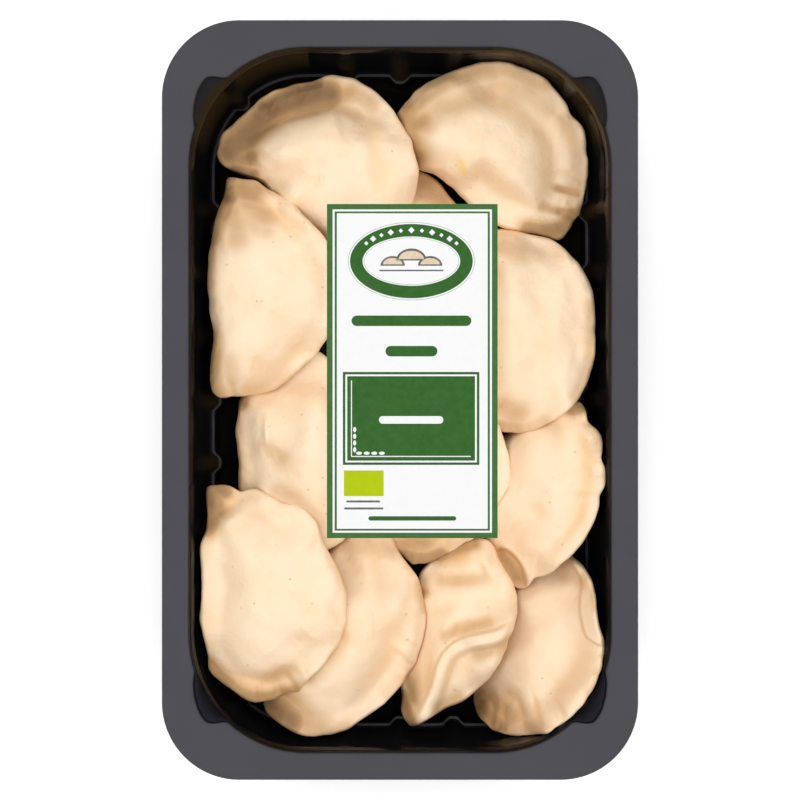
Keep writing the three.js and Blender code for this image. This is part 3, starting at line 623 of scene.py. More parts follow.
            (60.5, -0.3), (62.9, -1.0), (64.4, -4.2), (64.5, -7.7), (66.4, -8.7), (68.7, -11.0),
            (69.9, -14.5), (69.6, -18.4), (68.7, -20.4), (70.3, -22.4), (71.1, -26.5),
            (70.3, -30.2), (68.6, -32.6), (68.6, -36.4), (67.2, -40.4), (65.5, -45.2),
            (62.7, -49.2), (60.2, -52.6), (56.4, -56.1), (53.2, -59.2), (49.8, -61.3),
            (46.6, -61.6), (46.0, -63.7), (44.2, -65.8), (41.1, -66.1), (37, -62), (33, -54),
            (28, -45), (26, -33), (31, -17), (43, -7), (55, -3),
        ],
        "strokes": [
            (2.4, -1.2, [(57.5, -5), (61, -10.5), (63.2, -17), (64.3, -25), (63.4, -34), (60.5, -42),
                         (54, -50)]),
            (0.9, -0.8, [(65, -20.4), (70.5, -20.6)]),
            (0.9, -0.8, [(60.4, -7.4), (66, -8.2)]),
            (2.2, 0.7, [(66.4, -13.5), (67, -15)]),
            (2.2, 0.7, [(67.6, -26), (67.6, -27.5)]),
            (3.0, -0.8, [(46, -35), (50, -42)]),
        ],
        "flaps": [(6.0, -2.4, 0.7, [(44.6, -66.5), (43.3, -60.0), (41.4, -56.0), (37.6, -52.2),
                                    (33.5, -51.7)])],
        "thin": [
            (2.8, 0.5, [(34, -52.5), (38.4, -56.5), (41.2, -62.5)]),
            (5.0, 0.15, [(40, -15), (39, -26)]),
            (3.2, 0.75, [(61.5, -2.5), (59.5, -3)]),
            (3.0, 0.1, [(48, -7), (53, -9)]),
            (2.4, 0.3, [(65.4, -9), (68.3, -12), (68.3, -17)]),
        ],
        "puffs": [(6, 1.5, [(60, -14), (60, -30), (55, -42)])],
        "lifts": [(8, 7.0, [(58, -3), (68, -14), (70, -28), (64, -46), (56, -55)])],
        "pleats": [(-60, 45, 6, 0.3, 7)],
    },
    {
        "node": "dumpling_09", "heart": (-46, -68),
        "outline": [
            (-67.0, -29.7), (-61.8, -29.1), (-58.0, -29.7), (-54.9, -32.2), (-52.9, -31.1),
            (-49.8, -30.4), (-47.7, -31.5), (-44.6, -33.5), (-39.7, -36.0), (-35.6, -36.0),
            (-32.5, -38.0), (-29.0, -41.5), (-27.7, -46.0), (-25.6, -50.5), (-22.1, -56.3),
            (-20.1, -61.5), (-18.3, -66.7), (-18.3, -70.1), (-18.5, -77.1), (-20.4, -82.9),
            (-24.6, -89.1), (-28.0, -93.1), (-31.5, -96.4), (-34.2, -99.5), (-34.9, -101.2),
            (-38.4, -101.2), (-40.4, -102.3), (-43.9, -104.0), (-49.1, -104.7), (-52.5, -104.3),
            (-56.0, -102.3), (-60.1, -98.8), (-64.6, -95.4), (-66.6, -92.6), (-66.5, -89.1),
            (-67.2, -85.0), (-68.4, -79.8), (-69.2, -75.3), (-68.8, -69.6), (-68.2, -63.9),
            (-68.8, -58.1), (-69.0, -52.5), (-68.6, -48.7), (-66.7, -44.9), (-66.7, -39.4),
            (-67.0, -32.9),
        ],
        "strokes": [
            (2.2, -1.6, [(-55.2, -31.5), (-57.5, -35.0), (-61, -38.6), (-66, -42.5)]),
            (2.4, 0.9, [(-66, -45.5), (-60.4, -42), (-54, -38.6), (-49, -34)]),
            (3.0, -1.5, [(-66.1, -91.4), (-60.3, -94.8), (-53.5, -97.4), (-46.7, -97.2),
                         (-40.0, -94.2), (-33, -90.4)]),
            (1.0, -1.2, [(-48.8, -96.9), (-48.2, -104.7)]),
            (1.0, -0.8, [(-43.3, -95.5), (-41.9, -102.5)]),
            (1.2, -1.0, [(-38.5, -95.5), (-35.1, -101.2)]),
            (2.4, -0.6, [(-31, -70), (-27, -74)]),
            (2.6, -0.6, [(-36, -84), (-31, -80)]),
            (0.6, 0.6, [(-23.6, -53.0), (-22.6, -56.0)]),
        ],
        "flaps": [],
        "thin": [
            (4.8, 1.0, [(-67.5, -31), (-66.4, -36)]),
            (4.8, 0.9, [(-66.5, -36), (-66.6, -43)]),
            (3.4, 0.76, [(-63, -31), (-60.5, -31.6)]),
            (4.2, 0.68, [(-64, -33), (-63.5, -38)]),
            (3.0, 0.24, [(-55, -33), (-50, -33)]),
            (3.6, 0.66, [(-66.5, -91.5), (-60.5, -98), (-53, -103), (-44, -103.4), (-36, -100.6)]),
            (2.6, 0.25, [(-45, -97), (-37, -93)]),
        ],
        "lifts": [(7, 3.5, [(-68, -48), (-69, -62), (-68, -78)]),
                  (6, 2.5, [(-28, -44), (-23, -54), (-19, -66)])],
        "pleats": [(-120, -55, 5, 0.4, 9), (20, 80, 9, 0.2, 6)],
    },
    {
        "node": "dumpling_10", "heart": (-17, -83),
        "outline": [
            (-18.5, -47.2), (-10, -43.5), (-3.2, -47.2), (-0.4, -52.6), (2.2, -56.4),
            (6.2, -61.3), (7.3, -64.7), (8.0, -68.6), (9.2, -74.8), (8.7, -79.4), (7.4, -85.6),
            (5.9, -91.5), (2.7, -95.3), (0.7, -99.5), (-3.5, -103.5), (-5.1, -105.8),
            (-10.8, -109.3), (-17.8, -114.0), (-24.0, -115.8), (-30.5, -116.6), (-35.2, -115.8),
            (-39.7, -113.6), (-44.2, -110.5), (-46.8, -108.2), (-47.7, -105.4), (-48, -90),
            (-42, -72), (-31, -55),
        ],
        "strokes": [
            (0.8, 0.35, [(-10.8, -70.2), (-10.2, -75.7), (-9.6, -81.9)]),
            (0.5, 0.3, [(-9.9, -73.2), (-9.5, -78.0)]),
            (1.2, -0.6, [(-3.1, -86.2), (3.7, -92.7)]),
            (1.1, -0.5, [(-1, -81.5), (6, -86.5)]),
            (2.2, -0.8, [(-20, -52), (-14, -61)]),
            (2.6, -0.7, [(-12, -47), (-7, -60), (-6, -70)]),
            (2.6, -0.4, [(-4, -74), (-3.6, -84), (-7, -93), (-14, -100)]),
        ],
        "flaps": [],
        "thin": [
            (5.2, 1.0, [(-46.5, -104), (-42, -109)]),
            (5.6, 0.86, [(-41.5, -108), (-38, -111)]),
            (6.8, 0.42, [(-35, -112), (-29, -114)]),
            (6.0, 0.45, [(-40, -102), (-36, -107), (-32, -112)]),
            (4.6, 0.2, [(-16, -55), (-15.5, -65)]),
            (7.0, 0.14, [(-7, -54), (-4, -63)]),
            (3.0, 0.18, [(2, -96), (-4, -101)]),
            (2.4, 0.4, [(7.3, -64), (8.2, -73)]),
            (5.0, 0.36, [(-17, -50.5), (-10, -49.5), (-3, -51.5)]),
            (3.0, 0.35, [(-35, -114.8), (-27, -115.4), (-19, -113.6)]),
            (2.6, 0.25, [(7, -74), (7, -84), (3.5, -93)]),
            (3.4, 0.3, [(-31, -96), (-24, -89), (-20, -82)]),
        ],
        "lifts": [(8, 4.0, [(-40, -113), (-30, -117), (-20, -115)])],
        "pleats": [(-90, 20, 9, 0.25, 7)],
    },
    {
        "node": "dumpling_11", "heart": (21, -82),
        "outline": [
            (31.0, -48.6), (33.3, -51.4), (34.0, -54.9), (36.7, -59.0), (39.3, -63.5),
            (40.9, -68.0), (40.5, -73.9), (39.2, -79.1), (37.8, -81.4), (36.7, -85.4),
            (34.5, -90.6), (31.0, -96.5), (27.0, -100.3), (22.9, -104.5), (15.9, -107.2),
            (9.7, -110.7), (6.2, -113.0), (3.4, -113.9), (2.0, -111.7), (0.3, -107.9),
            (0.7, -103.8), (0, -99.8), (0, -93), (0, -84), (2.5, -72), (6.4, -63.5),
            (6.9, -60.6), (8.7, -57.8), (11.5, -55.4), (15.6, -53.0), (21.4, -50.0), (25.5, -48.0),
        ],
        "strokes": [
            (2.6, 1.2, [(4.2, -113), (8.4, -109), (12.2, -103.3), (14.4, -97), (15.8, -91),
                        (18.4, -87), (23.0, -84.2), (28.0, -83.0), (33.5, -81.6), (38.5, -78.6)]),
            (1.1, 0.9, [(22.9, -81.4), (23.5, -79.3)]),
            (2.4, -1.5, [(15, -82), (18, -79.6), (22, -78.2), (26.5, -77.4), (31, -76.4)]),
            (1.8, -1.4, [(10.8, -89), (9.6, -96), (7.8, -103)]),
            (3.0, -1.3, [(17, -55.5), (25, -53)]),
            (2.8, -1.4, [(14.5, -62.5), (22, -62.4), (28, -62)]),
            (1.2, -1.0, [(28.2, -54.5), (29.6, -59.2), (32.6, -63.2)]),
            (2.6, 0.9, [(32.1, -53.8), (36.0, -61), (38, -67)]),
            (1.5, -1.3, [(5.5, -68), (10.5, -66.5)]),
            (2.6, -0.7, [(10, -74), (19, -70)]),
        ],
        "flaps": [(3.4, 2.4, 0.6, [(38.5, -76.0), (33, -79), (27.4, -80.2), (22, -81.4),
                                   (16, -85), (12.6, -90.5), (11.2, -96.6), (9.0, -103.3),
                                   (5.6, -109), (3, -113)])],
        "thin": [
            (2.2, 0.3, [(16, -81.4), (19, -79.4), (24, -78), (30, -76.6)]),
            (2.4, 0.25, [(14.5, -62.5), (22, -62.4), (28, -62)]),
            (2.8, 0.58, [(14, -55), (19, -52.5), (26, -50)]),
            (2.6, 0.88, [(0.6, -103), (2, -108), (3.6, -112.5)]),
            (2.6, 0.36, [(27, -87.6), (33, -85.6), (37.4, -83)]),
            (2.2, 0.3, [(4.4, -94), (6, -101)]),
            (2.4, 0.3, [(5, -69.5), (8.5, -66.5), (7, -62)]),
            (2.8, 0.5, [(3.8, -98), (4.4, -104)]),
            (2.8, 0.42, [(14, -106.5), (20, -103.5)]),
        ],
        "puffs": [(5.5, 2.0, [(18, -105), (27, -98), (34, -89)])],
        "lifts": [(9, 6.0, [(14, -108), (24, -101), (33, -92), (40, -80)]),
                  (6, 5.0, [(2, -114), (8, -111)]), (7, 2.5, [(41, -72), (39, -62)])],
        "pleats": [(-60, 40, 9, 0.25, 6)],
    },
    {
        "node": "dumpling_12", "heart": (50, -86),
        "outline": [
            (58.5, -52.6), (61.9, -55.7), (64.5, -58.8), (66.6, -62.7), (67.6, -68.5),
            (67.7, -74.0), (69.4, -79.0), (71.0, -83.2), (70.9, -86.9), (70.0, -91.2),
            (68.1, -96.0), (65.9, -100.8), (62.6, -105.8), (58.8, -109.4), (54.6, -112.8),
            (51.0, -115.0), (47.0, -116.7), (41.2, -117.6), (35.4, -116.8), (31.0, -114.6),
            (27.6, -111.0), (25.6, -106.5), (26, -93), (30, -83), (36, -72), (42, -63), (50, -56),
        ],
        "strokes": [
            (1.1, -1.7, [(32.8, -106.5), (31.4, -115)]),
            (1.0, -1.5, [(36.4, -107), (35.6, -117.5)]),
            (1.5, -1.3, [(40.5, -103), (42.6, -109), (43.2, -117)]),
            (1.2, -1.0, [(46, -102), (48.5, -112)]),
            (1.2, -0.8, [(53.5, -103), (56.8, -110.5)]),
            (2.6, -1.3, [(35.8, -101), (40.5, -105)]),
            (3.4, -0.3, [(52, -98), (58, -100)]),
            (0.8, -0.8, [(67.5, -87.2), (71, -87.4)]),
            (1.0, 0.6, [(51, -113.6), (54.5, -112)]),
        ],
        "flaps": [(7.0, 3.2, 0.5, [(58.6, -53.4), (60.2, -57.9), (62.4, -61.4), (63.2, -63.9),
                                    (62.2, -67.3), (61.9, -72.8), (62.9, -78.7), (64.4, -82.0),
                                    (66.9, -83.5), (70.6, -85.2)])],
        "thin": [
            (4.4, 0.95, [(26.4, -104), (28.4, -109)]),
            (4.4, 0.75, [(28.4, -109), (34, -113.6)]),
            (6.0, 0.52, [(32, -105.5), (38, -110)]),
            (2.6, 0.4, [(69.5, -94), (66.5, -101)]),
            (1.8, 0.35, [(67, -65), (67.6, -71)]),
            (3.4, 0.4, [(34, -113), (41, -114), (48, -113)]),
            (3.6, 0.35, [(35, -82), (31.5, -92), (29, -100)]),
            (3.0, 0.25, [(58, -62), (62.5, -62.5)]),
        ],
        "lifts": [(8, 6.0, [(66, -58), (69, -68)]),
                  (10, 12.0, [(70, -78), (72, -87), (70, -93)]),
                  (9, 8.0, [(66, -101), (60, -108), (55, -112)]),
                  (8, 8.0, [(48, -116), (41, -118), (33, -116)]),
                  (8, 4.0, [(44, -66), (50, -62), (56, -60)])],
        "pleats": [(-150, -65, 5.2, 0.7, 10), (-60, -10, 6, 0.4, 6)],
    },
]


def bell(sigma):
    """How far a bell curve of that width reaches, and its weights, which add up to 1."""
    reach = int(4 * sigma)
    weights = np.exp(-0.5 * (np.arange(-reach, reach + 1) / sigma) ** 2)
    return reach, weights / weights.sum()


def even_outline(corners):
    """The closed outline with points at an even pitch and its corners rounded."""
    loop = np.asarray(corners + corners[:1], float)
    lengths = np.r_[0, np.cumsum(np.hypot(*np.diff(loop, axis=0).T))]
    count = int(lengths[-1] / OUTLINE_STEP)
    at = np.linspace(0, lengths[-1], count, endpoint=False)
    even = np.stack([np.interp(at, lengths, loop[:, axis]) for axis in (0, 1)], 1)
    reach, weights = bell(OUTLINE_ROUNDING / OUTLINE_STEP)
    return sum(w * np.roll(even, shift, axis=0)
               for w, shift in zip(weights, range(-reach, reach + 1)))


def ray_radii(outline, heart, angles):
    """Distance from the heart to the outline's farthest crossing at each angle."""
    start = outline - heart
    edge = np.roll(start, -1, axis=0) - start
    ray = np.stack([np.cos(angles), np.sin(angles)], 1)[:, None]
    across = ray[..., 0] * edge[:, 1] - ray[..., 1] * edge[:, 0]
    across = np.where(np.abs(across) < 1e-9, 1e-9, across)
    radius = (start[:, 0] * edge[:, 1] - start[:, 1] * edge[:, 0]) / across
    share = (start[:, 0] * ray[..., 1] - start[:, 1] * ray[..., 0]) / across
    met = (share >= 0) & (share <= 1) & (radius > 0)
    return np.where(met, radius, 0).max(1)


def fill_outwards(values, sure):
    """Fills the cells beside the sure ones with the mean of their filled neighbours."""
    values, sure = np.where(sure, values, 0.0), sure.copy()
    shifts = [(a, b) for a in (-1, 0, 1) for b in (-1, 0, 1) if a or b]
    while not sure.all():
        total = sum(np.roll(values * sure, s, (0, 1)) for s in shifts)
        count = sum(np.roll(sure.astype(float), s, (0, 1)) for s in shifts)
        fresh = ~sure & (count > 0)
        values[fresh] = total[fresh] / count[fresh]
        sure |= fresh
    return values


def blur(values, sigma):
    reach, weights = bell(sigma)
    for axis in (0, 1):
        padded = np.pad(values, [(reach, reach) if a == axis else (0, 0) for a in (0, 1)], "edge")
        values = np.apply_along_axis(np.convolve, axis, padded, weights, "valid")
    return values


def ray_tree(mesh):
    """The mesh's points in millimetres, and a tree of its faces to cast rays at."""
    points = [v.co / MM for v in mesh.vertices]
    return points, BVHTree.FromPolygons(points, [tuple(p.vertices) for p in mesh.polygons])


def height_from(start, tree, x, y):
    """Height at which a straight ray down from ABOVE, or up from BELOW, meets faces, or None."""
    way = Vector((0, 0, -1 if start == ABOVE else 1))
    met = tree.ray_cast(Vector((x, y, start)), way)[0]
    return None if met is None else met.z


def height_maps(node):
    """Smooth heights of a CAD solid's upper and lower skin, on a grid that runs past it."""
    tree = ray_tree(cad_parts[node].data)[1]
    low, high = (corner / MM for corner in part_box(node))
    xs = np.arange(low.x - MAP_MARGIN, high.x + MAP_MARGIN, GRID)
    ys = np.arange(low.y - MAP_MARGIN, high.y + MAP_MARGIN, GRID)
    upper, lower = np.zeros((2, len(xs), len(ys)))
    for i, x in enumerate(xs):
        for j, y in enumerate(ys):
            top = height_from(ABOVE, tree, x, y)
            if top is not None:
                bottom = height_from(BELOW, tree, x, y)
                upper[i, j] = top
                lower[i, j] = top if bottom is None else bottom
    sure = upper - lower > SURE
    return xs, ys, *(blur(fill_outwards(v, sure), BLUR / GRID) for v in (upper, lower))


def add_heights(piece, height_map):
    """Puts the height of a piece's upper side into a map of heights, where the map is lower."""
    points, tree = ray_tree(piece.data)
    lows, highs = np.min(points, axis=0), np.max(points, axis=0)
    xs, ys, heights = height_map
    for i in np.flatnonzero((xs > lows[0]) & (xs < highs[0])):
        for j in np.flatnonzero((ys > lows[1]) & (ys < highs[1])):
            top = height_from(ABOVE, tree, xs[i], ys[j])
            if top is not None:
                heights[i, j] = max(heights[i, j], top)


def empty_map():
    """Heights of nothing yet, on a grid over the tray's inside."""
    xs, ys = (np.arange(-half, half + GRID, GRID) for half in OPENING[:2])
    return xs, ys, np.zeros((len(xs), len(ys)))


def sample(xs, ys, values, x, y):
    u = np.clip((x - xs[0]) / GRID, 0, len(xs) - 1.001)
    v = np.clip((y - ys[0]) / GRID, 0, len(ys) - 1.001)
    i, j = u.astype(int), v.astype(int)
    a, b = u - i, v - j
    return ((values[i, j] * (1 - a) + values[i + 1, j] * a) * (1 - b)
            + (values[i, j + 1] * (1 - a) + values[i + 1, j + 1] * a) * b)


def round_path(path):
    """A path with its corners cut twice, as a wide stroke along a sharp one has creases."""
    path = np.asarray(path, float)
    for _ in range(2 if len(path) > 2 else 0):
        near, far = 0.75 * path[:-1] + 0.25 * path[1:], 0.25 * path[:-1] + 0.75 * path[1:]
        path = np.r_[path[:1], np.stack([near, far], 1).reshape(-1, 2), path[-1:]]
    return path


def to_path(path, x, y):
    """Distance to a path, positive to its left and negative to its right, and place along it."""
    path = round_path(path)
    lengths = np.hypot(*np.diff(path, axis=0).T)
    best = np.full(x.shape, np.inf)
    signed, along = np.zeros_like(x), np.zeros_like(x)
    for i, (start, length) in enumerate(zip(path, lengths)):
        dx, dy = (path[i + 1] - start) / length
        t = np.clip((x - start[0]) * dx + (y - start[1]) * dy, 0, length)
        px, py = x - start[0] - t * dx, y - start[1] - t * dy
        distance = np.hypot(px, py)
        nearer = distance < best
        best = np.where(nearer, distance, best)
        signed = np.where(nearer, np.where(dx * py - dy * px > 0, distance, -distance), signed)
        along = np.where(nearer, (lengths[:i].sum() + t) / lengths.sum(), along)
    return signed, along


def stroke_share(half, strength, path, x, y):
    """A stroke with a flat middle, such as one of colour, as it is at each point."""
    return strength * np.exp(-np.abs(to_path(path, x, y)[0] / half) ** 2.5)


def summed(shape, kind, x, y):
    """The strokes of one kind that a dumpling has, added up."""
    strokes = [stroke_share(*stroke, x, y) for stroke in shape.get(kind, [])]
    return sum(strokes, np.zeros_like(x))


def stroke_rise(half, height, path, x, y):
    """A round fold or valley that is lower towards its ends."""
    distance, along = to_path(path, x, y)
    inner = smooth(0, STROKE_RUN, along) * smooth(0, STROKE_RUN, 1 - along)
    ends = STROKE_END + (1 - STROKE_END) * inner
    return height * ends * np.exp(-((distance / half) ** 2))


def flap_rise(width, height, softness, path, x, y):
    """A flat rise to the left of a path, with a step along it and a soft far side."""
    distance, along = to_path(path, x, y)
    ends = smooth(0, FLAP_RUN, along) * smooth(0, FLAP_RUN, 1 - along)
    far_side = 1 - smooth(width, FLAP_FADE * width, distance)
    step = smooth(-softness, softness, distance) * far_side
    return height * ends * step


def pleat_marks(pleats, angles, arc, rng):
    """For each crimped stretch: how deep its pleats are at each angle, and their length."""
    marks = []
    for start, end, pitch, depth, length in pleats:
        turn = (np.degrees(angles) - start) % 360
        inside = smooth(0, PLEAT_FADE, turn) * smooth(0, PLEAT_FADE, (end - start) - turn)
        places = np.cumsum(rng.uniform(*PLEAT_PITCHES, PLEAT_COUNT) * pitch) + arc.min()
        strengths = rng.uniform(*PLEAT_STRENGTHS, PLEAT_COUNT)
        widths = rng.uniform(*PLEAT_WIDTHS, PLEAT_COUNT)
        groove = sum(s * np.exp(-(((arc - p) / w) ** 2))
                     for p, s, w in zip(places, strengths, widths))
        marks.append((depth * groove * inside * (turn < end - start), length))
    return marks


def smooth_round(values):
    """Values round the edge, each the weighted mean of those near it."""
    weights = np.hanning(SPREAD + 2)
    padded = np.r_[values[-SPREAD:], values, values[:SPREAD]]
    return np.convolve(padded, weights / weights.sum(), "same")[SPREAD:-SPREAD]


def spread_round(values):
    """The highest of each point's neighbours round the edge, less with distance, and smoothed."""
    turns = np.arange(-SPREAD, SPREAD + 1)
    return smooth_round(np.max([
        np.roll(values, t) * math.cos(math.pi * t / (2 * SPREAD + 2)) ** 2 for t in turns
    ], axis=0))


def keep_inside(radii, rim_z, heart, angles, tray_map):
    """Draws the edge in where the tray's wall is higher than it can bend up to."""
    tries = radii[:, None] - np.linspace(0, PULL_IN, PULL_TRIES)
    ground = sample(*tray_map, heart[0] + tries * np.cos(angles)[:, None],
                    heart[1] + tries * np.sin(angles)[:, None])
    free = ground + WALL_GAP < np.minimum(rim_z + BEND_UP, RIM_LIMIT)[:, None]
    last = PULL_TRIES - 1
    return radii - spread_round(np.where(free.any(1), free.argmax(1), last) * PULL_IN / last)


def settle(middle, half, distance_in, radii, tray_ground, pile_ground):
    """Bends the edge up where it would cut into the tray, and down onto what lies just below."""
    outer = slice(-EDGE_RINGS, None)
    underside = (middle - 0.5 * half)[:, outer]
    rise = spread_round(np.maximum(tray_ground[:, outer] + WALL_GAP - underside, 0).max(1))
    middle = middle + rise[:, None] * smooth(BEND_REACH, 0, distance_in / radii[:, None])
    gap = (underside - pile_ground[:, outer]).min(1)
    sag = np.clip(gap, 0, None) * smooth(SAG_LIMIT, 0.5 * SAG_LIMIT, gap) * (rise < RAISED)
    return middle - smooth_round(sag)[:, None] * smooth(SAG_REACH, 0, distance_in)


def make_rim(shape, heart, angles, middle_of, tray_map, rng):
    """Distance of the edge from the heart at each angle, and the marks of the pleats in it."""
    radii = ray_radii(even_outline(shape["outline"]), heart, angles)
    edge_step = np.hypot(np.diff(np.r_[radii, radii[0]]), radii * 2 * math.pi / ANGLES)
    marks = pleat_marks(shape["pleats"], angles, np.cumsum(edge_step), rng)
    for depth, _ in marks:
        radii = radii - PLEAT_BITE * depth
    flutter = random_field(rng, FLUTTER[0])
    waves = random_field(rng, OUTLINE_WAVES[0])
    rim_x, rim_y = heart[0] + radii * np.cos(angles), heart[1] + radii * np.sin(angles)
    radii = radii + OUTLINE_WAVES[1] * waves(rim_x, rim_y)
    rim_z = middle_of(rim_x, rim_y) + summed(shape, "lifts", rim_x, rim_y)
    return keep_inside(radii, rim_z, heart, angles, tray_map), marks, flutter


def carve(shape, marks, x, y, distance_in):
    """Height of the folds, flaps and pleats at each point."""
    relief = np.zeros_like(x)
    for stroke in shape["strokes"]:
        relief += stroke_rise(*stroke, x, y)
    for flap in shape["flaps"]:
        relief += flap_rise(*flap, x, y)
    for depth, length in marks:
        inner, outer = smooth(length, 0, distance_in), smooth(0, PLEAT_START, distance_in)
        relief -= depth[:, None] * inner * outer
    return relief


def skin_bumps(x, y, near_edge, rng):
    bumps = sum(height * random_field(rng, width)(x, y) for width, height in SKIN_BUMPS)
    width, height = EDGE_BUMPS
    return bumps + near_edge * height * random_field(rng, width)(x, y)


def join_skins(heart, x, y, top, bottom, end_z, tints):
    """Points, faces and tints of a closed body: its upper skin from the heart to the edge, and
    from there its underside, with fewer rings, back to the heart."""
    points = [(*heart, top[:, 0].mean())]
    faces = []
    point_tints = [np.zeros(tints.shape[-1])]
    for k in range(RINGS):
        points += np.stack([x[:, k], y[:, k], top[:, k]], 1).tolist()
        point_tints += list(tints[:, k])
        if k:
            faces += ring_faces(1 + (k - 1) * ANGLES, 1 + k * ANGLES, ANGLES)
    faces += [(0, 1 + i, 1 + (i + 1) % ANGLES) for i in range(ANGLES)]
    last = 1 + (RINGS - 1) * ANGLES
    for k in [RINGS - 2, RINGS - 3, *range(RINGS - 1 - LOWER_STEP, 0, -LOWER_STEP)]:
        following = len(points)
        points += np.stack([x[:, k], y[:, k], bottom[:, k]], 1).tolist()
        point_tints += [UNDERSIDE_TINTS] * ANGLES
        faces += ring_faces(last, following, ANGLES)
        last = following
    points.append((*heart, end_z))
    point_tints.append(UNDERSIDE_TINTS)
    faces += [(len(points) - 1, last + (i + 1) % ANGLES, last + i) for i in range(ANGLES)]
    return points, faces, np.array(point_tints).T


def make_dumpling(shape, tray_map, pile_map, material, rng):
    """A dumpling between the skins of its CAD solid, in rings round its heart, laid on what is
    already there."""
    heart = np.asarray(shape["heart"], float)
    xs, ys, upper_map, lower_map = height_maps(shape["node"])
    angles = np.arange(ANGLES) * 2 * math.pi / ANGLES
    radii, marks, flutter = make_rim(
        shape, heart, angles, lambda x, y: sample(xs, ys, (upper_map + lower_map) / 2, x, y),
        tray_map, rng)

    share = 1 - (1 - np.arange(1, RINGS + 1) / RINGS) ** RING_CROWDING
    distance_in = radii[:, None] * (1 - share)
    x = heart[0] + (radii * np.cos(angles))[:, None] * share
    y = heart[1] + (radii * np.sin(angles))[:, None] * share
    upper, lower = (sample(xs, ys, heights, x, y) for heights in (upper_map, lower_map))
    half, middle = (upper - lower) / 2, (upper + lower) / 2 + summed(shape, "lifts", x, y)
    ground = sample(*tray_map, x, y)
    middle = settle(middle, half, distance_in, radii, ground, sample(*pile_map, x, y))
    near_edge = smooth(NEAR_EDGE, 0, distance_in)
    middle = np.minimum(middle, TOP_LIMIT - TOP_ROOM) + near_edge * FLUTTER[1] * flutter(x, y)

    rounding = np.clip(EDGE_ROUND_SHARE * half, *EDGE_ROUND)
    fade = np.sqrt(1 - (1 - np.clip(distance_in / rounding, 0, 1)) ** 2)
    carved = carve(shape, marks, x, y, distance_in)
    swell = summed(shape, "puffs", x, y) + carved + skin_bumps(x, y, near_edge, rng)
    top = np.minimum(middle + (half + swell) * fade, TOP_LIMIT)
    bottom = np.maximum(middle - half * fade, ground + WALL_GAP)
    top = np.maximum(top, bottom + LEAST_SKIN)
    bottom[:, -1] = top[:, -1]

    # Painted shade: browner in folds and valleys as deep as they are, and where the skin leans.
    folds = np.clip(-carved / FOLD_SHADE_DEPTH, 0, FOLD_SHADE_MOST) * fade
    lean_and_fold_shade = np.clip(folds + SHADE_SLOPE * slope_of(x, y, top), 0, 1)
    # thin: dough with no filling, and painted shade in low parts and under overhanging edges.
    thin = np.max([stroke_share(*stroke, x, y) for stroke in shape["thin"]], axis=0)
    end_z = float(sample(xs, ys, lower_map, *heart[:, None])[0])
    points, faces, tints = join_skins(heart, x, y, top, bottom, end_z,
                                      np.stack([lean_and_fold_shade, thin, summed(shape, "stains", x, y)], 2))
    piece = make_piece(shape["node"] + "_dough", points, faces, [material],
                       attributes=dict(zip(("lean_and_fold_shade", "thin", "stain"), tints)))
    return place(piece, "dough", shape["node"])


def slope_of(x, y, z):
    """How far each point of a skin leans away from facing up, from 0 to 1."""
    points = np.stack([x, y, z], 2)
    around = np.roll(points, -1, 0) - np.roll(points, 1, 0)
    outwards = np.gradient(points, axis=1)
    normal = np.cross(outwards, around)
    return 1 - np.abs(normal[..., 2]) / np.maximum(np.linalg.norm(normal, axis=2), 1e-9)


def shade_nooks(pieces, around_map):
    """Marks how deep each point lies between what stands round it, for painted shade on the dough."""
    xs, ys, heights = around_map
    for piece in pieces:
        points = np.empty(3 * len(piece.data.vertices))
        piece.data.vertices.foreach_get("co", points)
        x, y, z = points.reshape(-1, 3).T / MM
        walls = np.zeros_like(x)
        for turn in np.arange(NOOK_TURNS) * 2 * math.pi / NOOK_TURNS:
            rises = [(sample(xs, ys, heights, x + reach * math.cos(turn), y + reach * math.sin(turn))
                      - z) / reach for reach in NOOK_REACHES]
            walls += np.clip(np.max(rises, axis=0), 0, NOOK_STEEPEST) / NOOK_TURNS
        nook_shade = smooth(*NOOK_RANGE, walls)
        piece.data.attributes.new("nook_shade", "FLOAT", "POINT").data.foreach_set("value", nook_shade)


# ---------------------------------------------------------------- tray


STRAIGHT_X, STRAIGHT_Y = (half - OPENING[2] for half in OPENING[:2])  # half a side's straight part


def rim_stations():
    """Places round a rounded rectangle, anticlockwise from the middle of the right side: kind,
    normal, then on a side the place along it, and in a corner the degrees from the long side's
    normal, and the direction in which the corner starts."""
    stations = []
    corner_count = int(round(OPENING[2] * math.pi / 2 / STATION))
    for start, run, kind in ((0, STRAIGHT_Y, "long"), (90, STRAIGHT_X, "short"),
                             (180, STRAIGHT_Y, "long"), (270, STRAIGHT_X, "short")):
        normal = tuple(round(f(math.radians(start))) for f in (math.cos, math.sin))
        count = int(round(2 * run / STATION))
        for i in range(count):
            stations.append((kind, normal, -run + (i + 0.5) * 2 * run / count, None))
        for i in range(corner_count + 1):
            turn = i * 90 / corner_count
            angle = math.radians(start + turn)
            from_long = turn if start in (0, 180) else 90 - turn
            stations.append(("corner", (math.cos(angle), math.sin(angle)), from_long, start))
    return stations


def station_points(stations, half_x, half_y, radius, insets=None):
    """The stations on a rounded rectangle, each moved in along its normal."""
    insets = np.zeros(len(stations)) if insets is None else insets
    points = []
    for (kind, (nx, ny), along, start), inset in zip(stations, insets):
        if kind == "long":
            x, y = nx * half_x, nx * along * (half_y - radius) / STRAIGHT_Y
        elif kind == "short":
            x, y = -ny * along * (half_x - radius) / STRAIGHT_X, ny * half_y
        else:
            x = math.copysign(half_x - radius, math.cos(math.radians(start + 45))) + radius * nx
            y = math.copysign(half_y - radius, math.sin(math.radians(start + 45))) + radius * ny
        points.append((x - nx * inset, y - ny * inset))
    return np.asarray(points)


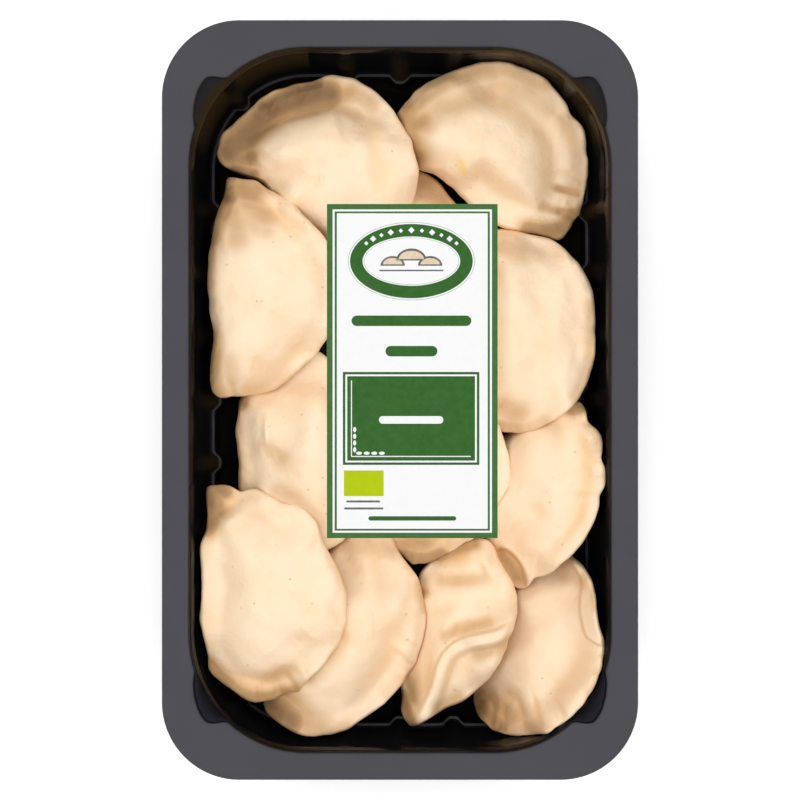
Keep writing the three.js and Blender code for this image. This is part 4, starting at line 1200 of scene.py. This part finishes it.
def flute_share(stations):
    """0 between flutes and 1 on a flute's crest."""
    shares = []
    for kind, _, along, _ in stations:
        if kind == "corner":
            offset = math.radians(along - CORNER_FLUTE) * OPENING[2]
        else:
            pitch, count = FLUTES[kind]
            reach = (count - 1) / 2
            nearest = min(max(round(along / pitch), -reach), reach)
            offset = along - nearest * pitch
        turn = min(max((abs(offset) - FLUTE_CREST) / (FLUTE_FOOT - FLUTE_CREST), 0), 1)
        shares.append(0.5 + 0.5 * math.cos(math.pi * turn))
    return np.asarray(shares)


def pocket_width(stations):
    turns, widths = zip(*POCKET)
    return np.asarray([
        np.interp(along, turns, widths, 0, 0) if kind == "corner" else 0.0
        for kind, _, along, _ in stations
    ])


def floor_rise(x, y):
    """Shallow ribs along the floor, which end well before the walls."""
    ends = smooth(*RIB_END, np.abs(y))
    return sum(h * np.exp(-(((x - at) / RIB_HALF) ** 4)) for at, h in RIBS) * ends


def tray_tints(stations, flute, pocket, ring_count):
    """How grey from the seal, shaded, olive from painted reflection and pale from a painted
    highlight each point of the tray's rings is.
    """
    seal, shade, olive_reflection, line = np.zeros((4, ring_count, len(stations)))
    corner = np.array([smooth(*CORNER_TURN, s[2]) if s[0] == "corner" else 0.0 for s in stations])
    # The painted olive reflection is kept to the lit side of the pack.
    lit = smooth(*LIT_END, station_points(stations, *OPENING)[:, 1])
    for row, (drop, inset, _, _) in enumerate(reversed(WALL), len(FLOOR_INSETS)):
        seal[row] = smooth(0, -SEAL_WIDTH, inset)
        # Painted pale highlight along the ledge, and painted olive reflection above it and on the lip.
        if LEDGE[0] <= drop <= LEDGE[1]:
            line[row] = 1
        elif LIP < drop < LEDGE[0]:
            down = drop / LEDGE[0]
            wall = corner * (1 - down) * (1 - FLUTE_REFLECTION * flute)
            olive_reflection[row] = np.maximum(wall, FLUTE_REFLECTION * flute * down**2) * lit
        elif drop > LIP_START:
            olive_reflection[row] = (LIP_REFLECTION[0] + LIP_REFLECTION[1] * corner) * lit
        if POCKET_FLOOR[0] <= drop <= POCKET_FLOOR[1]:
            shade[row] = smooth(0, 0.5, pocket)
    flange = len(FLOOR_INSETS) + len(WALL)
    seal[flange:flange + 4] = 1
    return {"seal": seal.ravel(), "pocket": shade.ravel(), "olive_reflection": olive_reflection.ravel(),
            "line": line.ravel()}


def join_rings(rings):
    """Faces that join closed rings of points, each to the next, with a face at either end."""
    count = len(rings[0])
    faces = []
    for i in range(len(rings) - 1):
        faces += ring_faces(i * count, (i + 1) * count, count)
    last = (len(rings) - 1) * count
    faces.append(list(range(count)))
    faces.append(list(range(last, last + count))[::-1])
    return faces


def make_tray(material):
    """The tray as rings of points from the middle of its floor, up the wall, round the flange
    and back under the floor."""
    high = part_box("tray")[1] / MM
    stations = rim_stations()
    count = len(stations)
    flute, pocket = flute_share(stations), pocket_width(stations)

    def wall_ring(drop, inset, flute_depth, pocket_part, thickness):
        insets = inset + flute_depth * flute - pocket_part * pocket - thickness
        ring = station_points(stations, *OPENING, insets)
        return np.c_[ring, np.full(count, high.z - drop - thickness)]

    def floor_ring(inset, thickness):
        radius = max(OPENING[2] - inset, LEAST_CORNER)
        ring = station_points(stations, OPENING[0] - inset, OPENING[1] - inset, radius)
        height = SHEET - thickness + floor_rise(*ring.T)
        return np.c_[ring, height if not thickness else np.maximum(height, 0)]

    def flange_ring(out, drop):
        ring = station_points(stations, high.x, high.y, PACK_CORNER, np.full(count, -out))
        return np.c_[ring, np.full(count, high.z - drop)]

    rings = [floor_ring(inset, 0) for inset in reversed(FLOOR_INSETS)]
    rings += [wall_ring(*step, 0) for step in reversed(WALL)]
    rings += [flange_ring(*step) for step in FLANGE]
    rings += [wall_ring(*step, SHEET) for step in WALL[2:]]
    rings += [floor_ring(inset, SHEET) for inset in FLOOR_INSETS]
    piece = make_piece("tray_shell", np.concatenate(rings), join_rings(rings), [material],
                       attributes=tray_tints(stations, flute, pocket, len(rings)))
    return place(piece, "tray", "tray")


# ---------------------------------------------------------------- film


def make_film(material):
    """A thin clear plate out to the pack's edge, with a faint wave in its surface."""
    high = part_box("film")[1] / MM
    stations = rim_stations()
    wave = random_field(np.random.default_rng(71), FILM_WAVE_WIDTH)

    def film_ring(inset, base, edge):
        radius = max(PACK_CORNER - inset, LEAST_CORNER)
        flat = station_points(stations, high.x - inset, high.y - inset, radius)
        loose = smooth(*FILM_LOOSE, float(inset))
        heights = base + FILM_WAVE * np.tanh(wave(*flat.T)) * loose
        if inset == FILM_INSETS[0]:
            heights = np.full(len(flat), base + edge)
        return np.c_[flat, heights]

    rings = [film_ring(inset, FILM_TOP, -FILM_EDGE) for inset in reversed(FILM_INSETS)]
    rings += [film_ring(inset, FILM_BOTTOM, FILM_EDGE) for inset in FILM_INSETS]
    piece = make_piece("film_sheet", np.concatenate(rings), join_rings(rings), [material])
    return place(piece, "film", "film")


# ---------------------------------------------------------------- label

LABEL_CENTRE = (4.2, 9.9)
LABEL_SIZE = (58.4, 114.3)
LABEL_TOP = 42.0
LABEL_GRID = (24, 46)
LABEL_MARGIN = 0.6  # between the paper's edge and the first line of its grid
LABEL_EDGE = (0.12, 0.04)  # width and drop of the paper's softened edge
LABEL_FOOT = FILM_TOP + 0.03
PRINT_RISE = 0.022  # how far the ink's fields stand on the paper, one step for each layer
PRINT_FOOT = LABEL_TOP - 0.05
GREEN, LIME, PALE, WHITE, GREY, TAN, LEAF = range(7)
OVAL = (-0.3, 37.6)
PANEL = (-0.4, -16.2)


def rectangle(cx, cy, width, height, corner=0.0, steps=6):
    """Corners of a rectangle, anticlockwise, rounded if asked."""
    if not corner:
        return [(cx + sx * width / 2, cy + sy * height / 2)
                for sx, sy in ((-1, -1), (1, -1), (1, 1), (-1, 1))]
    points = []
    for sx, sy, start in ((1, 1, 0), (-1, 1, 90), (-1, -1, 180), (1, -1, 270)):
        for i in range(steps + 1):
            angle = math.radians(start + 90 * i / steps)
            points.append((cx + sx * (width / 2 - corner) + corner * math.cos(angle),
                           cy + sy * (height / 2 - corner) + corner * math.sin(angle)))
    return points


def ellipse(cx, cy, rx, ry, steps=96):
    turns = [2 * math.pi * i / steps for i in range(steps)]
    return [(cx + rx * math.cos(turn), cy + ry * math.sin(turn)) for turn in turns]


def half_moon(cx, cy, rx, ry):
    turns = [math.radians(degrees) for degrees in range(0, 181, 12)]
    return [(cx + rx * math.cos(turn), cy + ry * math.sin(turn)) for turn in turns]


class Ink:
    """Flat fields of print that stand on the paper, gathered for one mesh."""

    def __init__(self):
        self.points, self.faces, self.finishes = [], [], []

    def ring(self, outline, z):
        self.points += [(x + LABEL_CENTRE[0], y + LABEL_CENTRE[1], z) for x, y in outline]

    def field(self, outline, layer, finish):
        """A flat field with closed sides."""
        start, count = len(self.points), len(outline)
        self.ring(outline, PRINT_FOOT)
        self.ring(outline, LABEL_TOP + PRINT_RISE * layer)
        self.faces.append([start + count + i for i in range(count)])
        self.faces.append([start + i for i in reversed(range(count))])
        for i in range(count):
            j = (i + 1) % count
            self.faces.append([start + i, start + j, start + count + j, start + count + i])
        self.finishes += [finish] * (count + 2)

    def band(self, outer, inner, layer, finish):
        """A closed band between two outlines with equal numbers of points."""
        start, count = len(self.points), len(outer)
        high = LABEL_TOP + PRINT_RISE * layer
        for outline, z in ((inner, PRINT_FOOT), (inner, high), (outer, high), (outer, PRINT_FOOT)):
            self.ring(outline, z)
        for k in range(4):
            self.faces += ring_faces(start + k * count, start + (k + 1) % 4 * count, count)
        self.finishes += [finish] * (4 * count)


def lets_light_through(piece):
    """Thin paper and its print throw no shade on the dough."""
    piece.visible_shadow = piece.visible_diffuse = False
    return piece


def make_paper(material):
    """The sheet itself: a thin grid with softened edges."""
    lines = []
    for size, count in zip(LABEL_SIZE, LABEL_GRID):
        edge = np.array([0.0, LABEL_EDGE[0]])
        inner = np.linspace(LABEL_MARGIN, size - LABEL_MARGIN, count)
        lines.append(np.r_[edge, inner, size - edge[::-1]] - size / 2)
    u, v = np.meshgrid(*lines, indexing="ij")
    at_edge = np.zeros(u.shape, bool)
    at_edge[[0, -1], :] = at_edge[:, [0, -1]] = True
    top = np.stack([u + LABEL_CENTRE[0], v + LABEL_CENTRE[1],
                    np.where(at_edge, LABEL_TOP - LABEL_EDGE[1], LABEL_TOP)], -1).reshape(-1, 3)
    bottom = top.copy()
    bottom[:, 2] = LABEL_FOOT
    index = np.arange(u.size).reshape(u.shape)
    quads = np.stack([index[:-1, :-1], index[1:, :-1], index[1:, 1:], index[:-1, 1:]], -1)
    quads = quads.reshape(-1, 4)
    faces = quads.tolist() + (quads[:, ::-1] + u.size).tolist()
    border = np.r_[index[:, 0], index[-1, 1:], index[-2::-1, -1], index[0, -2:0:-1]].tolist()
    for a, b in zip(border, border[1:] + border[:1]):
        faces.append([a, a + u.size, b + u.size, b])
    sheet = make_piece("label_paper", np.concatenate([top, bottom]), faces, [material])
    return place(lets_light_through(sheet), "label", "label")


def print_border(ink):
    """A green border with a white line and a thin green line in it."""
    width, height = LABEL_SIZE
    for outer, inner in (((0.02, 0.02), (3.9, 3.7)), ((5.3, 5.1), (6.8, 6.4))):
        ink.band(rectangle(0, 0, width - outer[0], height - outer[1]),
                 rectangle(0, 0, width - inner[0], height - inner[1]), 1, LEAF)


def print_oval(ink):
    """An oval with plain marks round it and a motif of three half-moons."""
    x, y = OVAL
    for outer, inner, finish in (((21.0, 12.7), (16.7, 8.45), GREEN),
                                 ((21.75, 13.4), (21.5, 13.15), PALE),
                                 ((16.3, 8.1), (16.1, 7.9), PALE)):
        ink.band(ellipse(x, y, *outer), ellipse(x, y, *inner), 1, finish)
    for i in range(-5, 6):
        angle = math.radians(90 - i * 11)
        cx, cy = x + 18.85 * math.cos(angle), y + 10.6 * math.sin(angle)
        size = 0.75 if i % 2 else 1.1
        ink.field([(cx + size, cy), (cx, cy + size), (cx - size, cy), (cx, cy - size)], 2, WHITE)
    for dx, dy, radius, layer in ((-6.4, -1.6, 4.2, 1), (6.4, -1.6, 4.2, 1), (0, 0.2, 5.2, 2)):
        ink.field(half_moon(x + dx, y + dy, radius, 0.8 * radius), layer, GREY)
        inner = radius - 0.9
        ink.field(half_moon(x + dx, y + dy + 0.5, inner, 0.66 * inner), layer + 1, TAN)
    ink.field(rectangle(x, y - 3.2, 22, 0.5, 0.24), 1, GREY)


def print_panel(ink):
    """A panel with its frame, a plain bar, and two thin lines with leaves where they meet."""
    x, y = PANEL
    ink.band(rectangle(x, y, 46.7, 31.8), rectangle(x, y, 45.0, 30.1), 1, GREEN)
    ink.field(rectangle(x, y, 43.7, 28.9), 1, GREEN)
    ink.field(rectangle(x, y - 0.5, 22, 2.6, 1.3), 2, WHITE)
    left, low = x - 20.4, y - 13.0
    ink.field(rectangle(left, y, 0.35, 26), 2, WHITE)
    ink.field(rectangle(x, low, 40.8, 0.35), 2, WHITE)
    for k in range(1, 5):
        ink.field(ellipse(left + 2.6 * k, low + 1.1, 1.0, 0.55, 16), 2, WHITE)
        ink.field(ellipse(left + 1.1, low + 2.3 * k, 0.55, 0.9, 16), 2, WHITE)


def make_print(materials):
    ink = Ink()
    print_border(ink)
    print_oval(ink)
    for y, width in ((17.2, 41), (6.8, 17.8)):  # plain bars where a name would stand
        ink.field(rectangle(OVAL[0], y, width, 3.6, 1.8), 1, GREEN)
    print_panel(ink)
    ink.field(rectangle(-16.6, -38.4, 13.6, 8.8), 1, LIME)
    ink.field(rectangle(-16.8, -44.6, 11.6, 0.7, 0.34), 1, GREY)
    ink.field(rectangle(-16.6, -47.0, 13.4, 0.7, 0.34), 1, GREY)
    ink.field(rectangle(0, -50.4, 30, 1.5, 0.74), 1, GREEN)
    piece = make_piece("label_print", ink.points, ink.faces, materials, ink.finishes)
    piece.data.polygons.foreach_set("use_smooth", np.zeros(len(piece.data.polygons), bool))
    return place(lets_light_through(piece), "label")


# ---------------------------------------------------------------- stage, light and camera

CAMERA_HEIGHT = 1.1  # above the flange, in metres
VIEW_WIDTH = 0.27376  # what the picture spans at the flange
FLANGE_HEIGHT = 0.0415
SENSOR = 36
FLOOR_SIZE = 6
FLOOR_GLOW = 0.32  # the floor's own light, as a lit studio sweep has
WORLD_STRENGTH = 0.58
AIM = (0, 0, 0.03)  # what the lights point at


def make_stage():
    material, tree, bsdf = shader("floor_pale")
    feed(tree, bsdf, {
        "Base Color": ramp(tree, noise(tree, 3), [
            (0.3, (0.90, 0.90, 0.90)), (0.7, (0.93, 0.93, 0.93)),
        ]),
        "Roughness": 0.9,
        "Specular IOR Level": 0.1,
        "Emission Color": (1, 1, 1, 1),
        "Emission Strength": FLOOR_GLOW,
    })
    bpy.ops.mesh.primitive_plane_add(size=FLOOR_SIZE)
    floor = bpy.context.object
    floor.name = "floor"
    floor.data.materials.append(material)


def add_area(name, location, size, power, glossy):
    light = bpy.data.lights.new(name, "AREA")
    light.shape = "RECTANGLE"
    light.size, light.size_y = size
    light.energy = power
    holder = bpy.data.objects.new(name, light)
    holder.location = location
    toward = Vector(AIM) - Vector(location)
    holder.rotation_euler = toward.to_track_quat("-Z", "Y").to_euler()
    holder.visible_glossy = glossy
    bpy.context.scene.collection.objects.link(holder)


def make_light():
    world = bpy.data.worlds.new("studio")
    world.use_nodes = True
    tree = world.node_tree
    direction = add(tree, "ShaderNodeTexCoord").outputs["Generated"]
    height = add(tree, "ShaderNodeSeparateXYZ", {"Vector": direction}).outputs["Z"]
    feed(tree, tree.nodes["Background"], {
        "Color": ramp(tree, height, [
            (0.0, (0.8, 0.8, 0.8)), (0.55, (0.75, 0.75, 0.75)), (0.75, (0.02, 0.02, 0.02)),
        ]),
        "Strength": WORLD_STRENGTH,
    })
    bpy.context.scene.world = world
    add_area("softbox_top", (0, 0, 2.0), (5, 5), 108, False)
    add_area("softbox_left", (-1.4, 0.4, 1.2), (0.5, 1.4), 3, True)
    add_area("softbox_right", (1.4, 0.2, 1.1), (0.4, 1.2), 2, True)


def make_camera():
    data = bpy.data.cameras.new("camera")
    data.sensor_width = SENSOR
    data.lens = SENSOR * CAMERA_HEIGHT / VIEW_WIDTH
    data.clip_start = 0.1
    camera = bpy.data.objects.new("camera", data)
    camera.location = (0, 0, FLANGE_HEIGHT + CAMERA_HEIGHT)
    bpy.context.scene.collection.objects.link(camera)
    bpy.context.scene.camera = camera
    bpy.context.scene.view_settings.view_transform = "Standard"


# ---------------------------------------------------------------- the scene

tray_map = empty_map()
add_heights(make_tray(tray_material()), tray_map)
pile_map = empty_map()
dough = dough_material()
pieces = []
for number in STACK:
    rng = np.random.default_rng(FIRST_SEED + number)
    pieces.append(make_dumpling(DUMPLINGS[number - 1], tray_map, pile_map, dough, rng))
    add_heights(pieces[-1], pile_map)
shade_nooks(pieces, pile_map)
make_film(film_material())
make_paper(print_material("label_white", (0.795, 0.795, 0.80), (0.81, 0.81, 0.815), 0.5))
make_print([
    print_material("ink_green", (0.030, 0.112, 0.018), (0.040, 0.134, 0.027)),
    print_material("ink_lime", (0.39, 0.50, 0.0), (0.42, 0.525, 0.002)),
    print_material("ink_pale_green", (0.36, 0.46, 0.34), (0.46, 0.55, 0.43)),
    print_material("ink_white", (0.79, 0.79, 0.795), (0.81, 0.81, 0.815)),
    print_material("ink_grey", (0.10, 0.10, 0.09), (0.17, 0.165, 0.15)),
    print_material("ink_tan", (0.62, 0.50, 0.36), (0.72, 0.60, 0.45)),
    print_material("ink_leaf_green", (0.048, 0.135, 0.034), (0.060, 0.158, 0.044)),
])
make_stage()
make_light()
make_camera()
